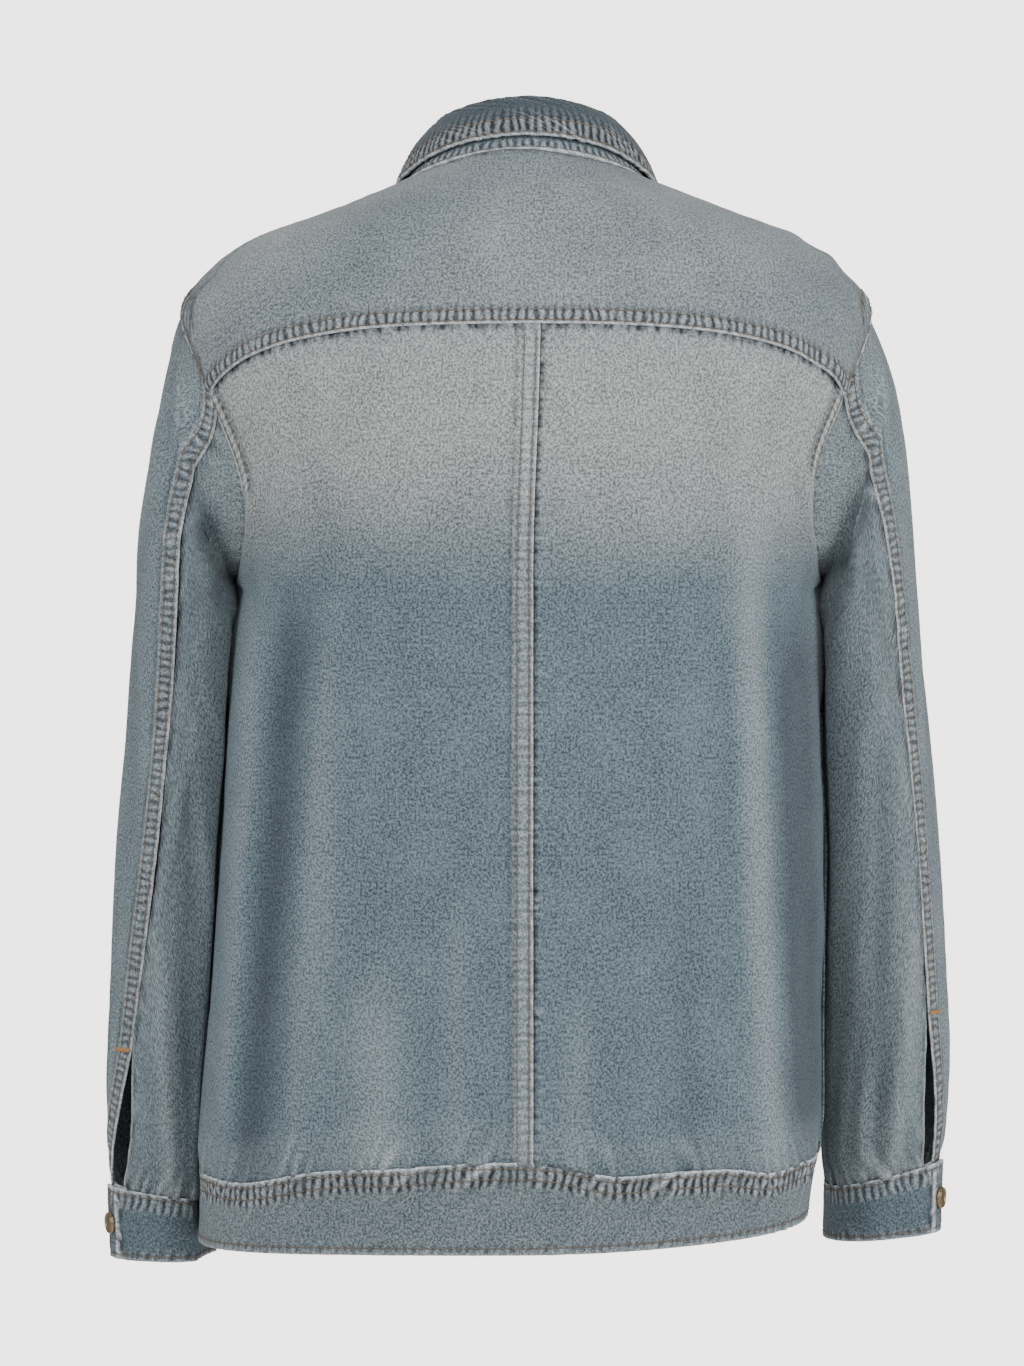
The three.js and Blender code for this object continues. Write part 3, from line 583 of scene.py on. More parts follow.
def denim(name, deep, pale, faded_deep, faded_pale):
    """Washed twill: dark warp and pale weft that show as a mottle, with worn edges and ridges, painted
    highlights on fold ridges, and painted shade in hollows and beside edges.
    """
    material, tree, shader = start_material(name, 0.92)
    shader.inputs["Specular IOR Level"].default_value = 0.15
    shader.inputs["Sheen Weight"].default_value = 0.1
    shader.inputs["Sheen Roughness"].default_value = 0.6
    place = add_node(tree, "ShaderNodeUVMap", uv_map="cloth").outputs[0]
    speck = noise(tree, place, (0.44, 0.56), 690, (1, 0.8, 1), 2, 0.8)
    slub = noise(tree, place, (0.42, 0.60), 560, (1, 0.26, 1), 3, 0.6, 3.1)
    cloud = noise(tree, place, (0.32, 0.70), 36, (1, 0.7, 1), 4, 0.62, 1.3)
    turned = add_node(tree, "ShaderNodeMapping", {"Vector": place, "Rotation": (0, 0, 0.95)})
    twill = wave(tree, turned.outputs[0], "X", 190, 1.6, 2.5)
    mottle = weighted(tree, (speck, 0.62), (slub, 0.16), (cloud, 0.16), (twill, 0.06))
    fade = attribute(tree, "fade")
    colour = mix(tree, mottle, mix(tree, fade, deep, faded_deep), mix(tree, fade, pale, faded_pale))

    gathers = [attribute(tree, "gather_u"), attribute(tree, "gather_v")]
    shown = [maths(tree, "MULTIPLY", bars(tree, place, way), part) for way, part in zip("XY", gathers)]
    raised = maths(tree, "ADD", *shown)
    sunk = maths(tree, "SUBTRACT", maths(tree, "ADD", *gathers), raised)
    grain = maths(tree, "ADD", weighted(tree, (speck, 0.55)), 0.5)
    # Gathered ridges turn paler with wear; the hollows between them darken as unworn dye and painted shade.
    worn = maths(tree, "ADD", attribute(tree, "worn"), maths(tree, "MULTIPLY", raised, 0.34))
    worn = maths(tree, "MULTIPLY", worn, grain, True)
    dark = maths(tree, "ADD", attribute(tree, "dark"), maths(tree, "MULTIPLY", sunk, 0.60))
    dark = maths(tree, "MULTIPLY", dark, 0.9, True)
    colour = mix(tree, worn, mix(tree, dark, colour, DARK_DYE_AND_SHADE), WORN_WHITE_AND_HIGHLIGHT)
    tree.links.new(colour, shader.inputs["Base Color"])
    add_bump(tree, shader, weighted(tree, (mottle, 0.7), (twill, 0.3), (raised, 1.6)), 0.6, 0.0006)
    return material


def plain(name, colour, roughness, metallic=0.0, grain=900, contrast=0.25):
    """Thread, metal or floor: one colour with a fine uneven tone."""
    material, tree, shader = start_material(name, roughness)
    shader.inputs["Metallic"].default_value = metallic
    place = add_node(tree, "ShaderNodeTexCoord").outputs["Object"]
    tone = noise(tree, place, (0.35, 0.68), grain)
    shade = tuple(c * (1 - contrast) for c in colour[:3]) + (1,)
    light = tuple(min(1, c * (1 + contrast)) for c in colour[:3]) + (1,)
    tree.links.new(mix(tree, tone, shade, light), shader.inputs["Base Color"])
    add_bump(tree, shader, tone, 0.25, 0.0002)
    return material


DENIM = denim(
    "washed_denim",
    deep=(0.024, 0.042, 0.056, 1),
    pale=(0.208, 0.276, 0.310, 1),
    faded_deep=(0.088, 0.102, 0.106, 1),
    faded_pale=(0.520, 0.534, 0.524, 1),
)
THREADS = {
    "tan": plain("tan_thread", (0.135, 0.105, 0.075, 1), 0.75),
    "grey": plain("grey_thread", (0.10, 0.09, 0.085, 1), 0.75),
    "orange": plain("orange_thread", (0.34, 0.17, 0.055, 1), 0.7),
}
METAL = plain("antique_metal", (0.30, 0.22, 0.13, 1), 0.38, 1.0, 500, 0.3)


# Making pieces from surfaces

SHEETS = {
    # Columns, rows, thickness, flat width and length as shown, net area in square metres
    "back_panel": (150, 220, CLOTH, 240, 545, 0.126),
    "back_yoke": (250, 100, CLOTH, 560, 210, 0.082),
    "front": (90, 150, CLOTH, 270, 620, 0.145),
    "placket": (16, 180, DOUBLE, 34, 600, None),
    "hem_band": (440, 32, DOUBLE, 1120, 56, None),
    "sleeve_upper": (110, 200, CLOTH, 255, 575, 0.118),
    "sleeve_under": (62, 200, CLOTH, 165, 500, 0.066),
    "cuff": (130, 26, DOUBLE, 270, 46, None),
    "collar_stand": (200, 20, DOUBLE, 520, 36, None),
    "collar_fall": (230, 44, DOUBLE, 500, 48, None),
}


def to_mesh(shape, name):
    mesh = bpy.data.meshes.new(name)
    shape.to_mesh(mesh)
    shape.free()
    return mesh


def add_object(name, data, material=None):
    thing = bpy.data.objects.new(name, data)
    bpy.context.scene.collection.objects.link(thing)
    if material:
        data.materials.append(material)
    return thing


def cloth_places(relief, grain):
    """Flat places on the cloth, for its weave, straight from an edge, a seam or the middle."""
    if grain == "left":
        return relief.run_u, -relief.run_v
    if grain == "seam":
        return relief.run_u * np.sqrt(1 - relief.lean**2), -(relief.run_v[:, :1] + relief.run_u * relief.lean)
    up = relief.run_v[-1:] - relief.run_v
    if grain == "low":
        return np.broadcast_to(relief.run_u[-1:], up.shape), up
    return relief.run_u - relief.run_u[:, -1:] / 2, up


def make_sheet(name, surface, relief_of, turn=1, grain="left"):
    """A cloth piece: a grid bent onto its surface, given its relief, then a thickness."""
    kind = name.removesuffix("_left").removesuffix("_right")
    columns, rows, thickness, width, length, area = SHEETS[kind]
    sheet = bmesh.new()
    bmesh.ops.create_grid(sheet, x_segments=columns, y_segments=rows, size=1)
    across = np.array([vertex.co.x for vertex in sheet.verts]) * 0.5 + 0.5
    down = 0.5 - np.array([vertex.co.y for vertex in sheet.verts]) * 0.5
    i = np.rint(across * columns).astype(int)
    j = np.rint(down * rows).astype(int)
    u, v = np.meshgrid(np.linspace(0, 1, columns + 1), np.linspace(0, 1, rows + 1))
    grid = surface(u, v)
    relief = Relief(grid, u, v)
    relief_of(relief)
    relief.grid = grid + grid_normals(grid) * turn * relief.height[..., None]
    relief.normals = grid_normals(relief.grid) * turn
    for vertex, place in zip(sheet.verts, relief.grid[j, i] * MM):
        vertex.co = place
    layer = sheet.loops.layers.uv.new("cloth")
    flat_places = np.stack(cloth_places(relief, grain), axis=-1)[j, i] * MM
    sheet.verts.index_update()
    for face in sheet.faces:
        face.smooth = True
        for loop in face.loops:
            loop[layer].uv = flat_places[loop.vert.index]
    if turn > 0:
        bmesh.ops.reverse_faces(sheet, faces=sheet.faces)
    mesh = to_mesh(sheet, name)
    for label in TONES:
        values = mesh.attributes.new(label, "FLOAT", "POINT")
        values.data.foreach_set("value", np.clip(getattr(relief, label), 0, 1)[j, i])
    piece = add_object(name, mesh, DENIM)
    wall = piece.modifiers.new("thickness", "SOLIDIFY")
    wall.thickness = thickness * MM
    wall.offset = -1
    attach(piece, "root")
    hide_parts(name)
    return relief


def body_shade(relief, x, z, is_back):
    """Adds the finer folds, and painted light and shade that show them: a painted highlight on the ridges and
    painted shade in the hollows.
    """
    relief.height += fold_rise(SOFT_FOLDS, x, z, is_back)
    ridge = fold_rise(FOLDS + SOFT_FOLDS, x, z, is_back)
    relief.worn += 0.20 * np.clip(ridge / 4, 0, 1)
    relief.dark += 0.62 * np.clip(-ridge / 5, 0, 1)


def armhole_edge(relief, distance, place, on_armhole, seed):
    """The folded edge of a body piece that lies over the sleeve, with its two rows of sewing, painted shade
    beside each row and a painted shadow just past the raised strip.
    """
    relief.height += 0.9 * band(distance, -5, 8.4) * on_armhole
    relief.worn += 1.0 * on_armhole * bell(distance, 1.2) * (0.9 + 0.2 * ripple(place, seed, 5, 15))
    relief.worn += 0.22 * on_armhole * band(distance, 3.6, 7)
    for row in ARMHOLE_ROWS:
        relief.height -= 0.25 * on_armhole * bell(distance - row, 0.9)
        relief.dark += 0.5 * on_armhole * bell(distance - row - 0.6, 1.0)
    relief.dark += 0.4 * on_armhole * bell(distance - 11, 2.2)
    relief.gather_v += 0.6 * on_armhole * band(distance, 1, 9)


# Back panels

def back_surface(hand, side):
    hem_side = HEM[hand] + GAP

    def surface(u, v):
        edge = edge_levels(v, YOKE["tip"] + 2, hem_side)
        middle_level = lerp(YOKE["middle"] + 2, HEM["back"] + GAP, v)
        row = sample(BODY, "level", middle_level)
        settled = smooth((YOKE["middle"] - middle_level) / (YOKE["middle"] - CENTRE_SEAM["settles"]))
        x = lerp(CENTRE_SEAM["top"], CENTRE_SEAM["low"], settled)
        start = side * np.arcsin((x - row["middle"]) / row["half"]) / DEG + (0 if side > 0 else 0.1)
        finish = edge_angle(edge, -ARMHOLE["back"]) - np.where(edge > ARMHOLE["bottom"], 0.2, 0.05)
        angle = lerp(start, finish, u)
        part = angle / finish
        shape = lerp(np.abs(part) ** YOKE["curve"], np.sin(part * 90 * DEG) ** 2, v)
        sag = hem_sag(side * angle) * smooth((v - SAG_START) / (1 - SAG_START))
        return body_point(side * angle, lerp(middle_level, edge, shape) + sag)

    return surface


def make_back_panel(hand, side):
    def relief_of(relief):
        x, z = relief.grid[..., 0], relief.grid[..., 2]
        body_shade(relief, x, z, True)
        patch = 7 * swell(x, z, 17, 90, 220, 4)
        relief.fade += smooth((z - FADE_ENDS["back"] + patch) / 95) * (1 - 0.2 * smooth((z + 140) / 40))
        relief.undulate(11 if side > 0 else 21, 0.6)
        # The dark lines beside the centre seam, under the yoke and above the hem band are painted shadows.
        seam, edge = relief.left, relief.right
        covered = SEWN_ON_TOP[hand]
        on_armhole = smooth((z - covered) / 12)
        if side > 0:
            relief.raise_strip(seam, FELL_WIDTH)
            relief.worn_line(z, seam, 31, 1.0, 0.95)
            relief.worn_line(z, seam - FELL_WIDTH + 0.8, 34, 0.9, 0.3)
            relief.painted_shadow_line(z, seam, 32, FELL_WIDTH + 1.4, 1.4, 0.5)
            relief.grooves(seam, *FELL_ROWS)
            relief.worn += 0.16 * band(seam, 3.4, 9)
            relief.gather_v += 0.34 * band(seam, 1.5, 11.5)
            relief.pucker(z, np.abs(seam - 6.2), 33, 0.3, 0.2, pitch=7.5, reach=7, slant=0.2)
        else:
            relief.painted_shadow_line(z, seam, 32, 0.8, 1.7, 0.95)
            relief.gather_v += 0.25 * bell(seam, 5)
            relief.pucker(z, seam, 35, 0.3, 0.2, pitch=8, reach=8)
        armhole_edge(relief, edge, z, on_armhole, 43)
        relief.pucker(relief.left, relief.top, 36 + side, 0.25, 0.25, pitch=8.5, reach=13, slant=0.5)
        relief.height -= 0.5 * bell(relief.top, 4)
        relief.painted_shadow_line(relief.left, relief.top, 37, 2.8, 2.2, 1.1)
        relief.gather_u += 0.35 * bell(relief.top, 6)
        relief.pucker(relief.left, relief.low, 38 + side, 1.2, 0.20, pitch=11, reach=24, slant=0.4)
        relief.worn += 0.04 * band(relief.low, 4, 26, 12)
        relief.dark += 0.05 + 0.05 * smooth((-330 - z) / 160)
        relief.painted_shadow_line(relief.left, relief.low, 39, 0.4, 2.2, 0.5)
        # A fold ridge along the side edge with a painted highlight on it, then painted shade at the edge and
        # towards the side below the armhole.
        relief.height += 3.4 * bell(edge - 9, 8) * band(z, -330, covered + 4, 36)
        relief.worn += 0.18 * bell(edge - 4, 3) * band(z, -340, covered, 20)
        relief.dark += 0.85 * bell(edge, 1.6) * (1 - on_armhole)
        relief.dark += 0.14 * bell(edge - 16, 12) * (1 - on_armhole)

    relief = make_sheet(f"back_panel_{hand}", back_surface(hand, side), relief_of, side)
    if side > 0:
        sew(relief, "left", FELL_ROWS, (0.012, 1))
    sew(relief, "right", ARMHOLE_ROWS, (0.01, 0.115))


for hand, side in SIDES:
    make_back_panel(hand, side)


# Yoke: each column runs from the neck seam to the yoke seam or the armhole

def yoke_surface(u, v):
    signed = u * 2 - 1
    side, part = np.where(signed < 0, -1, 1), np.abs(signed)
    outer_angle = part * YOKE_FRONT["armhole_angle"]
    on_seam = outer_angle <= YOKE["tip_angle"]
    outer_level = np.where(on_seam, yoke_level(outer_angle), armhole_top_level(outer_angle) + 0.4)
    end = lerp(YOKE_FRONT["neck_angle"], YOKE_FRONT["armhole_angle"], v) - 0.12
    return body_point(side * part * end, lerp(-0.3, outer_level, v))


def yoke_relief(relief):
    part = np.abs(relief.u * 2 - 1) * YOKE_FRONT["armhole_angle"]
    along = relief.run_u
    on_armhole = smooth((part - YOKE["tip_angle"]) * 1.5)
    on_seam = 1 - on_armhole
    x, y = relief.grid[..., 0], relief.grid[..., 1]
    relief.undulate(51, 0.7)
    relief.dark += 0.09
    relief.fade += 0.50 + 0.12 * swell(x, relief.low, 58, 70, 200, 4)
    relief.height += 0.9 * band(relief.low, -5, 8.8)
    relief.worn_line(along, relief.low, 52, 1.2, 1.0)
    relief.grooves(relief.low, *YOKE_ROWS, depth=0.26)
    relief.gather_u += (0.85 * on_seam + 0.5 * on_armhole) * band(relief.low, 1.0, 9.6)
    relief.gather_u += 0.2 * band(relief.low, 8, 15, 5)
    # The stitched band is darker, and a painted shadow lines the top of the seam's raised strip.
    relief.dark += 0.22 * band(relief.low, 2, 9) + 0.3 * bell(relief.low - 11, 1.6)
    relief.pucker(along, np.abs(relief.low - 5), 53, 0.4, 0.15, pitch=8.2, reach=9, slant=0.25)
    relief.height += 0.7 * on_armhole * puckers(along, relief.low, 54, 11, 20)
    # Painted shadows under the collar and along the seams to the fronts.
    relief.painted_shadow_line(along, relief.top, 55, 0.3, 3.2, 0.9)
    relief.pucker(along, relief.top, 56, 0.3, 0.25, pitch=7.5, reach=8)
    relief.painted_shadow_line(relief.run_v, np.minimum(relief.left, relief.right), 57, 0.2, 1.6, 0.6)
    shoulder = bell(np.abs(x) - 165, 45) * bell(y, 60)
    relief.worn += 0.08 * shoulder
    tip = bell(np.abs(x) - 196, 26) * band(y, 20, 110, 30)
    relief.dark += 0.10 * tip
    relief.height += 1.3 * tip * swell(x, relief.grid[..., 2], 59, 20, 42, 6)


sew(make_sheet("back_yoke", yoke_surface, yoke_relief, grain="centre"), "low", YOKE_ROWS, (0.004, 0.996))


# Fronts and plackets

def front_surface(hand, side):
    hem_side = HEM[hand] + GAP

    def surface(u, v):
        edge = edge_levels(v, YOKE_FRONT["armhole_level"], hem_side)
        edge_share = (edge - YOKE_FRONT["armhole_level"]) / (hem_side - YOKE_FRONT["armhole_level"])
        down = lerp(v, edge_share, u * u)
        on_yoke = np.clip((u - NECK_SHARE) / (1 - NECK_SHARE), 0, 1)
        top_level = YOKE_FRONT["armhole_level"] * on_yoke - 0.4
        reach = PLACKET_WIDTH / 2 + GAP
        neck = lerp(front_angle(reach, 0), YOKE_FRONT["neck_angle"] + 0.3, np.clip(u / NECK_SHARE, 0, 1))
        slope = lerp(YOKE_FRONT["neck_angle"], YOKE_FRONT["armhole_angle"], on_yoke) + 0.3
        top_angle = np.where(on_yoke > 0, slope, neck)
        top_start = front_angle(reach, top_level)
        start = front_angle(reach, lerp(top_level, HEM["front"], down))
        finish = edge_angle(edge, ARMHOLE["front"]) + np.where(edge > ARMHOLE["bottom"], 0.2, 0.05)
        top_share = (top_start - top_angle) / (top_start - YOKE_FRONT["armhole_angle"] - 0.2)
        from_top = lerp(start, finish, top_share)
        angle = lerp(from_top, lerp(start, finish, u), smooth(down * 3))
        level = top_level + (hem_level(side * angle, HEM) + GAP - top_level) * down
        level = level + hem_sag(side * angle) * smooth((down - SAG_START) / (1 - SAG_START))
        point = body_point(side * angle, level)
        if side < 0:
            away = np.abs(point[..., 0] - body_point(side * start, level)[..., 0])
            lap = LAP_RISE * smooth(1 - away / LAP_RAMP)
            point = point + body_normal(side * angle, level) * lap[..., None]
        return point

    return surface


def make_front(hand, side):
    def relief_of(relief):
        x, z = relief.grid[..., 0], relief.grid[..., 2]
        body_shade(relief, x, z, False)
        patch = 7 * swell(x, z, 19, 90, 220, 4)
        relief.fade += 0.8 * smooth((z - FADE_ENDS["front"] + patch) / 95)
        relief.undulate(61 if side > 0 else 71, 0.6)
        on_armhole = smooth((z - ARMHOLE["bottom"] - 4) / 14)
        # The dark lines beside the placket, under the yoke and the collar, and above the hem band are painted
        # shadows.
        relief.painted_shadow_line(z, relief.left, 62, 0.6, 1.8, 0.8)
        relief.gather_v += 0.3 * bell(relief.left, 6)
        relief.pucker(z, relief.left, 63 + side, 0.35, 0.2, pitch=8, reach=9)
        relief.pucker(relief.left, relief.top, 64 + side, 0.35, 0.25, pitch=8, reach=10)
        relief.painted_shadow_line(relief.left, relief.top, 65, 0.6, 2, 0.8)
        relief.gather_u += 0.35 * bell(relief.top, 6)
        relief.pucker(relief.left, relief.low, 66 + side, 1.2, 0.3, pitch=11, reach=24, slant=0.4)
        relief.painted_shadow_line(relief.left, relief.low, 67, 0.4, 2.2, 0.5)
        armhole_edge(relief, relief.right, z, on_armhole, 68)
        relief.height += 0.6 * band(relief.right, -5, 8) * (1 - on_armhole)
        # Painted shade towards the side below the armhole.
        relief.dark += 0.16 * bell(relief.right, 14) * (1 - on_armhole)

    relief = make_sheet(f"front_{hand}", front_surface(hand, side), relief_of, -side)
    sew(relief, "right", ARMHOLE_ROWS, (0.01, 0.26))


for hand, side in SIDES:
    make_front(hand, side)


def make_placket(hand, side):
    out = LAP_RISE if side < 0 else 0

    def surface(u, v):
        level = lerp(-0.4, HEM["front"] + GAP, v)
        angle = front_angle(lerp(PLACKET_WIDTH / 2, -PLACKET_WIDTH / 2, u), level)
        return body_point(side * angle, level) + body_normal(side * angle, level) * out

    def relief_of(relief):
        z = relief.grid[..., 2]
        relief.fade += 0.7 * smooth((z - FADE_ENDS["placket"]) / 90)
        relief.worn_line(z, relief.left, 81, 1.0, 0.9)
        relief.worn_line(z, relief.right, 82, 1.0, 0.9)
        relief.gather_v += 0.5 * bell(np.minimum(relief.left, relief.right) - 2.4, 2.6)
        relief.grooves(relief.left, *PLACKET_ROWS)
        relief.pucker(z, np.minimum(relief.left, relief.right), 83, 0.3, 0.3, pitch=7.5, reach=5)

    relief = make_sheet(f"placket_{hand}", surface, relief_of, -side)
    if side < 0:
        sew(relief, "left", PLACKET_ROWS)


for hand, side in SIDES:
    make_placket(hand, side)


def lap_rise(angle, level):
    end = -360 + front_angle(PLACKET_WIDTH / 2, level)
    reach = np.abs(angle - end) * DEG * sample(BODY, "level", level)["half"] - PLACKET_WIDTH
    return LAP_RISE * smooth(1 - reach / LAP_RAMP)


# Hem band, one strip from its right end round the back to its left end

def hem_surface(u, v):
    end = 360 - front_angle(PLACKET_WIDTH / 2, HEM["front"])
    angle = lerp(-end, end, u)
    level = lerp(hem_level(angle, HEM) + hem_sag(angle) + 1.2, hem_level(angle, HEM_EDGE), v)
    out = SEAM_PROUD + lap_rise(angle, level)
    return body_point(angle, level) + body_normal(angle, level) * out[..., None]


def hem_relief(relief):
    along = relief.run_u
    relief.worn_line(along, relief.top, 91, 1.1, 1.25)
    relief.worn_line(along, relief.low, 92, 1.0, 0.6)
    relief.dark += 0.30 * band(relief.top, 2, 15, 3)
    relief.grooves(relief.top, *HEM_TOP_ROWS)
    relief.grooves(relief.low, HEM_LOW_ROW)
    relief.gather_u += 1.0 * band(relief.top, 1.6, 15, 4) * (0.85 + 0.2 * ripple(along, 94, 30, 90))
    relief.gather_u += 0.3 * band(relief.low, 0.5, 6, 2)
    relief.pucker(along, relief.top - 5, 93, 0.9, 0.4, pitch=9.5, reach=15, slant=-0.35)
    relief.pucker(along, relief.low, 95, 0.5, 0.25, pitch=8.5, reach=9, slant=0.6)
    relief.undulate(96, 0.6)
    relief.dark += 0.24
    relief.fade += 0.22


relief = make_sheet("hem_band", hem_surface, hem_relief, grain="low")
sew(relief, "top", HEM_TOP_ROWS, pitch=HEM_STITCH)
sew(relief, "low", [HEM_LOW_ROW], pitch=HEM_STITCH)


# Sleeves

def clear_of_body(point, margin):
    level = np.minimum(point[..., 2], ARMHOLE["bottom"])
    row = sample(BODY, "level", level)
    depth = np.where(point[..., 1] > 0, row["back"], row["front"])
    across = (point[..., 0] - row["middle"]) / row["half"]
    along = point[..., 1] / depth
    size = (np.abs(across) ** row["square"] + np.abs(along) ** row["square"]) ** (1 / row["square"])
    needed = 1 + margin / row["half"]
    push = np.where((size < needed) & (point[..., 2] <= ARMHOLE["bottom"] + 12), needed / size, 1)
    x = row["middle"] + (point[..., 0] - row["middle"]) * push
    return stacked(x, point[..., 1] * push, point[..., 2])


def section_point(row, side, angle):
    sin, cos = np.sin(angle * DEG), np.cos(angle * DEG)
    k = squareness(sin, cos, SLEEVE_SQUARE)

    def across(outer, inner):
        return (outer + inner) / 2 + (outer - inner) / 2 * sin * k

    x, z = across(row["outerX"], row["innerX"]), across(row["outerZ"], row["innerZ"])
    return stacked(side * x, row["middleY"] + row["depth"] * cos * k, z)


def armhole_point(side, angle):
    up, back = np.sin(angle * DEG), np.cos(angle * DEG)
    spread_angle = np.where(back > 0, ARMHOLE["back"], ARMHOLE["front"])
    reach = np.where(up > 0, ARMHOLE["top"] - ARMHOLE["widest"], ARMHOLE["widest"] - ARMHOLE["bottom"])
    on_body = (side * (90 - (spread_angle + SLEEVE_UNDERLAP) * back), ARMHOLE["widest"] + (reach + 2.5) * up)
    return body_point(*on_body) - body_normal(*on_body) * SLEEVE_DEPTH


def sleeve_point(hand, side, angle, along):
    rows = SLEEVES[hand]
    count = len(rows["seam"])
    angle, along = np.broadcast_arrays(angle, along)

    def ring(k):
        i = np.clip(k, 1, count) - 1
        row = {name: values[i] for name, values in rows.items()}
        tube = clear_of_body(section_point(row, side, angle), CLEAR_OF_BODY)
        return np.where((k <= 0)[..., None], armhole_point(side, angle), tube)

    k = np.clip(np.floor(along).astype(int), 0, count - 1)
    before, a, b, after = ring(k - 1), ring(k), ring(k + 1), ring(k + 2)
    slope_a = (b - before) / np.where(k > 0, 2, 1)[..., None]
    slope_b = (after - a) / np.where(k + 2 <= count, 2, 1)[..., None]
    point = hermite(a, b, slope_a, slope_b, (along - k)[..., None])
    cleared = clear_of_body(point, CLEAR_OF_BODY * smooth(along))
    return np.where((along > 0.5)[..., None], cleared, point)


def seam_angle_at(hand, along):
    seams = SLEEVES[hand]["seam"]
    rows = {"along": np.arange(len(seams) + 1.0), "seam": np.concatenate([[SEAM_START[hand]], seams])}
    return sample(rows, "along", along)["seam"]


def slit_half(slit, along, end):
    start, widest = slit["from"], slit["widest"]
    opening = smooth((along - start) / (widest - start))
    closing = smooth((along - widest) / (end - widest))
    return opening * lerp(slit["width"], slit["at_cuff"], closing) / 2


# Sleeve creases: where each starts and ends, as an angle round the sleeve and a section number
CREASES = [
    # angle, along, end angle, end along, width in degrees, rise
    (70, 0.2, 40, 2.6, 13, -1.6),
    (105, 0.4, 120, 3.0, 14, -1.2),
    (330, 1.0, 350, 3.4, 11, -2.0),
    (300, 1.6, 330, 4.2, 11, -1.6),
    (60, 3.4, 95, 5.4, 13, 1.3),
    (350, 4.4, 20, 6.4, 10, -1.6),
    (75, 5.6, 50, 8.2, 11, -1.4),
    (130, 5.0, 165, 6.6, 13, -1.8),
    (150, 6.4, 190, 7.8, 12, -1.8),
    (100, 7.6, 88, 9.0, 14, 1.0),
    (355, 7.4, 340, 10.8, 10, -2.0),
    (15, 9.0, -8, 12.0, 8, 2.4),
    (62, 10.0, 70, 12.0, 9, 1.6),
    (90, 10.9, 95, 12.0, 8, -1.2),
    (140, 10.2, 135, 12.0, 12, 1.6),
    (200, 9.8, 205, 12.0, 12, -1.8),
    (330, 10.6, 325, 12.0, 9, 1.6),
    (170, 1.0, 180, 3.2, 14, -1.5),
]


def crease_rise(angle, along):
    rise = 0
    for start, low, finish, high, width, height in CREASES:
        t = np.clip((along - low) / (high - low), 0, 1)
        away = (angle - lerp(start, finish + (360 if finish - start < -180 else 0), t) + 180) % 360 - 180
        fade = smooth((along - low + 0.8) / 1.2) * smooth((high - along + 0.8) / 1.2)
        rise = rise + height * fade * bell(away, width)
    return rise


